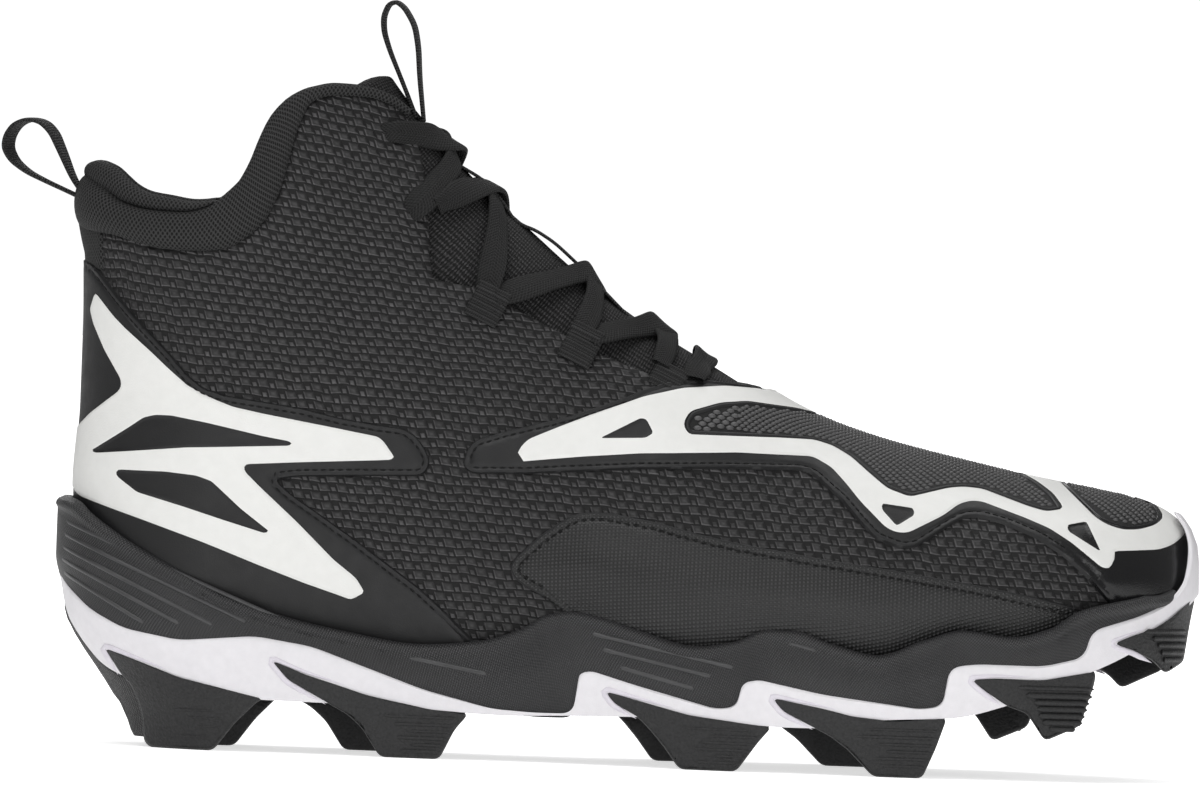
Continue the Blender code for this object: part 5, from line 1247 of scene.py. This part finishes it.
# Rows: high hold, low hold, whether these are eyelets, and the pull of both strands towards the toe.
ROWS = [((76.5, 164.5), (85, 142), True, 2.5, 3.0), ((93, 145), (107.5, 122.6), False, -3.3, -3.3),
        ((109.6, 121.4), (132.5, 112.4), False, 2.5, 2.5), ((134.6, 111.6), (153.8, 105.0), False, 3.2, 3.2)]
BAR = (162.3, 101.6)


def throat_at(place):
    """Ridge place and share across of a side-view point."""
    x = np.linspace(78, 194, 1161)
    lean = np.radians(curve(LEAN, "degrees", x))
    dx, dz = x - place[0], ridge_z(x) - place[1]
    k = int(np.argmin(np.abs(dx * np.cos(lean) - dz * np.sin(lean))))
    depth = min(math.hypot(dx[k], dz[k]), THROAT_DEPTH)
    return float(x[k]), math.acos(1 - depth / THROAT_DEPTH) * 2 / math.pi


def lace_grid(start, end, over, seed, dive=False, pull=0.0):
    """Flat oval section along a path over the throat, pulled to its crossing and a little rolled."""
    (x0, q0), (x1, q1) = throat_at(start), throat_at(end)
    t = np.linspace(0, 1, 81)
    points, normals = throat_frame(x0 + (x1 - x0) * t + pull * np.sin(math.pi * t), -q0 + (q0 + q1) * t)
    lift = 1.4 - 2.1 * (ease(3.2 * t) + ease(3.2 - 3.2 * t) - 1) + over * np.exp(-((t - 0.5) / 0.13) ** 2)
    lift = lift - 4.0 * dive * (ease(1 - t / 0.07) + ease(1 - (1 - t) / 0.07))
    line = points + normals * lift[:, None]
    ahead = unit(np.gradient(line, axis=0))
    across = unit(np.cross(normals, ahead))
    up = np.cross(ahead, across)
    twist = 0.35 * np.sin(2 * math.pi * (t * 1.3 + seed))
    across, up = (across * np.cos(twist)[:, None] + up * np.sin(twist)[:, None],
                  up * np.cos(twist)[:, None] - across * np.sin(twist)[:, None])
    pinch = 0.22 * (ease(1 - t / 0.1) + ease(1 - (1 - t) / 0.1))
    half = LACE_HALF * (1 - 0.12 * np.sin(2 * math.pi * (2 * t + seed)) - pinch)
    turn = np.linspace(0, 2 * math.pi, 25)[:-1]
    wide = squared_off(np.cos(turn), 0.8)
    high = squared_off(np.sin(turn), 0.7) * (0.86 + 0.14 * np.cos(2 * turn))
    ring = (line[:, None] + across[:, None] * (half[:, None] * wide)[..., None]
            + up[:, None] * (LACE_THICK * high)[:, None])
    run = lengths(line)
    uv = np.stack(np.broadcast_arrays(LACE_HALF * wide[None, :], run[:, None]), axis=-1)
    return ring, quads(len(t), len(turn), False, True), uv, 0


lace_cloth, tree, shader = start_look("lace_weave", (0.012, 0.012, 0.012), 0.8, 0.3)
u, v, _ = coordinates(tree)
chevron = stripes(tree, v, calc(tree, "ABSOLUTE", u), 0.8, 6.5)
cords = calc(tree, "SINE", calc(tree, "MULTIPLY", u, 9.0))
height = calc(tree, "MULTIPLY_ADD", cords, 0.4, calc(tree, "MULTIPLY", chevron, 0.6))
bump(tree, shader, height, 0.22, 0.8)
tint(tree, shader, ramp(tree, height, -0.9, 0.9), (0.005, 0.005, 0.005), (0.021, 0.021, 0.021))
strands = []
for k, (high, low, eyelets, pull, pull_back) in enumerate(ROWS):
    strands.append(lace_grid(high, low, 1.2, 0.1 + 0.21 * k, eyelets, pull))
    strands.append(lace_grid(low, high, -0.5, 0.55 + 0.17 * k, eyelets, pull_back))
strands.append(lace_grid(BAR, BAR, 0.0, 0.8))
add_piece("lace", strands, [lace_cloth], ["lace_bar", *(f"lace_cross_{k}" for k in (1, 2, 3, 4))], 80)

# LACE KEEPER
# Thin webbing strap that runs down over the crossings and is sewn to the tongue between them.
KEEPER = [(99, 156.3), (106, 152.5), (111, 147), (114, 142.5), (116.5, 141), (120, 139.8), (125, 136.8),
          (130, 132.5), (135, 128), (140, 123), (145, 118.2)]


def band_grid(path, half, thick, yaw=0.0, y0=0.0):
    """Flat band along a side-view path, turned about the upright most in its middle."""
    line = rounded(path, 4.0, 0.6, False)
    left, t = left_of(line), np.linspace(-1, 1, len(line))
    angle = math.radians(yaw) * (1 - t ** 2) * ease((t + 0.75) / 0.6)
    turn = np.linspace(0, 2 * math.pi, 21)[:-1]
    wide, high = half * squared_off(np.cos(turn), 0.5), thick / 2 * squared_off(np.sin(turn), 0.6)
    x = line[:, :1] + left[:, :1] * high + wide * np.sin(angle)[:, None]
    z = line[:, 1:] + left[:, 1:] * high
    y = y0 + wide * np.cos(angle)[:, None]
    run = lengths(line)
    uv = np.stack(np.broadcast_arrays(wide[None, :], run[:, None]), axis=-1)
    return np.stack([x, y, z], axis=-1), quads(len(line), len(turn), False, True), uv, 0


keeper = band_grid(KEEPER, 3.0, 0.9, 0.0, 1.8)
add_piece("lace_keeper_strap", [keeper], [webbing], ["lace_keeper"], 60)

# PULL LOOPS
# Black webbing bent into a loop and sewn in at the heel of the collar and at the top of the tongue.
HEEL_LOOP = [(3.0, 142.6), (-9.8, 148), (-14.8, 150.3), (-18.6, 153.2), (-20.5, 156.6), (-20, 160),
             (-18, 163), (-14.7, 164.4), (-11, 163.7), (-8.3, 161), (-5.9, 156), (-2.6, 148.7), (1.2, 143.6)]
TONGUE_LOOP = [(87.2, 168.5), (84.4, 175.2), (79.6, 186), (77.9, 191), (77.7, 195), (79, 198.2), (81, 199),
               (83.2, 197.4), (86, 193), (87.2, 187), (87.8, 179), (89.3, 167.5)]
for label, path, half, yaw in (("heel", HEEL_LOOP, 5.0, 17.0), ("tongue", TONGUE_LOOP, 4.5, 5.0)):
    loop = band_grid(path, half, 1.2, yaw)
    add_piece(label + "_loop", [loop], [webbing], [label + "_pull_loop"], 60)

# STAGE
# Plain white floor and backdrop, soft light from above and both sides, long-lens camera.
floor_look, tree, shader = start_look("white_floor", (0.92, 0.92, 0.92), 0.9, 0.0)
size = 6.0
mesh = bpy.data.meshes.new("floor")
mesh.from_pydata([(-size, -size, 0), (size, -size, 0), (size, size, 0), (-size, size, 0)], [], [(0, 1, 2, 3)])
mesh.materials.append(floor_look)
floor = bpy.data.objects.new("floor", mesh)
bpy.context.scene.collection.objects.link(floor)

glow = tree.nodes.new("ShaderNodeEmission")
seen = tree.nodes.new("ShaderNodeLightPath")
both = tree.nodes.new("ShaderNodeAddShader")
x, y, _ = coordinates(tree, "Object")
away = calc(tree, "SQRT", calc(tree, "ADD", calc(tree, "MULTIPLY", x, x), calc(tree, "MULTIPLY", y, y)))
shown = calc(tree, "MULTIPLY", seen.outputs["Is Camera Ray"], ramp(tree, away, 0.2, 0.6, 0.2, 0.8))
tree.links.new(calc(tree, "ADD", shown, 0.45), glow.inputs["Strength"])
tree.links.new(shader.outputs[0], both.inputs[0])
tree.links.new(glow.outputs[0], both.inputs[1])
tree.links.new(both.outputs[0], tree.nodes["Material Output"].inputs["Surface"])

world = bpy.data.worlds.new("white_room")
world.use_nodes = True
tree = world.node_tree
seen = tree.nodes.new("ShaderNodeLightPath")
tree.nodes["Background"].inputs["Color"].default_value = (1, 1, 1, 1)
tree.links.new(ramp(tree, seen.outputs["Is Camera Ray"], 0.0, 1.0, 0.18, 1.05),
               tree.nodes["Background"].inputs["Strength"])
bpy.context.scene.world = world


def soft_light(name, place, target, size_m, power):
    """Square soft box aimed at a point."""
    lamp = bpy.data.lights.new(name, "AREA")
    lamp.size = size_m
    lamp.energy = power
    thing = bpy.data.objects.new(name, lamp)
    aim = np.array(target, float) - np.array(place, float)
    thing.location = place
    yaw, pitch = math.atan2(aim[0], -aim[1]), math.atan2(math.hypot(aim[0], aim[1]), -aim[2])
    thing.rotation_euler = (pitch, 0, yaw + math.pi)
    bpy.context.scene.collection.objects.link(thing)


soft_light("key", (-0.45, -0.8, 1.2), (0, 0, 0.08), 0.8, 8.5)
soft_light("front", (0.1, -1.7, 0.2), (0, 0, 0.03), 0.8, 6.0)
soft_light("fill", (0.9, -0.9, 0.6), (0, 0, 0.08), 0.5, 2.5)
soft_light("top", (0.1, 0.4, 1.4), (0, 0, 0.1), 1.0, 8.0)
soft_light("back", (-0.2, 1.7, 0.6), (0, 0, 0.08), 0.8, 4.0)

PHOTO_WIDTH, MM_PER_PIXEL = 1200, 0.2640
ROLL = math.atan(0.03697)
CAMERA_X, CAMERA_Y, CAMERA_Z, CAMERA_AWAY, CAMERA_RISE = 138.56, -20.0, 96.66, 9000.0, math.radians(1.1)
lens = bpy.data.cameras.new("camera")
lens.sensor_width = 36.0
lens.lens = 36.0 * CAMERA_AWAY / (PHOTO_WIDTH * MM_PER_PIXEL)
lens.clip_end = 60.0
camera = bpy.data.objects.new("camera", lens)
aim = np.array([CAMERA_X, CAMERA_Y, CAMERA_Z]) - ORIGIN
camera.location = (aim + CAMERA_AWAY * np.array([0, -math.cos(CAMERA_RISE), math.sin(CAMERA_RISE)])) * MM
turned = Matrix.Rotation(math.pi / 2 - CAMERA_RISE, 4, "X") @ Matrix.Rotation(ROLL, 4, "Z")
camera.rotation_euler = turned.to_euler()
bpy.context.scene.collection.objects.link(camera)
bpy.context.scene.camera = camera
bpy.context.scene.view_settings.view_transform = "Standard"
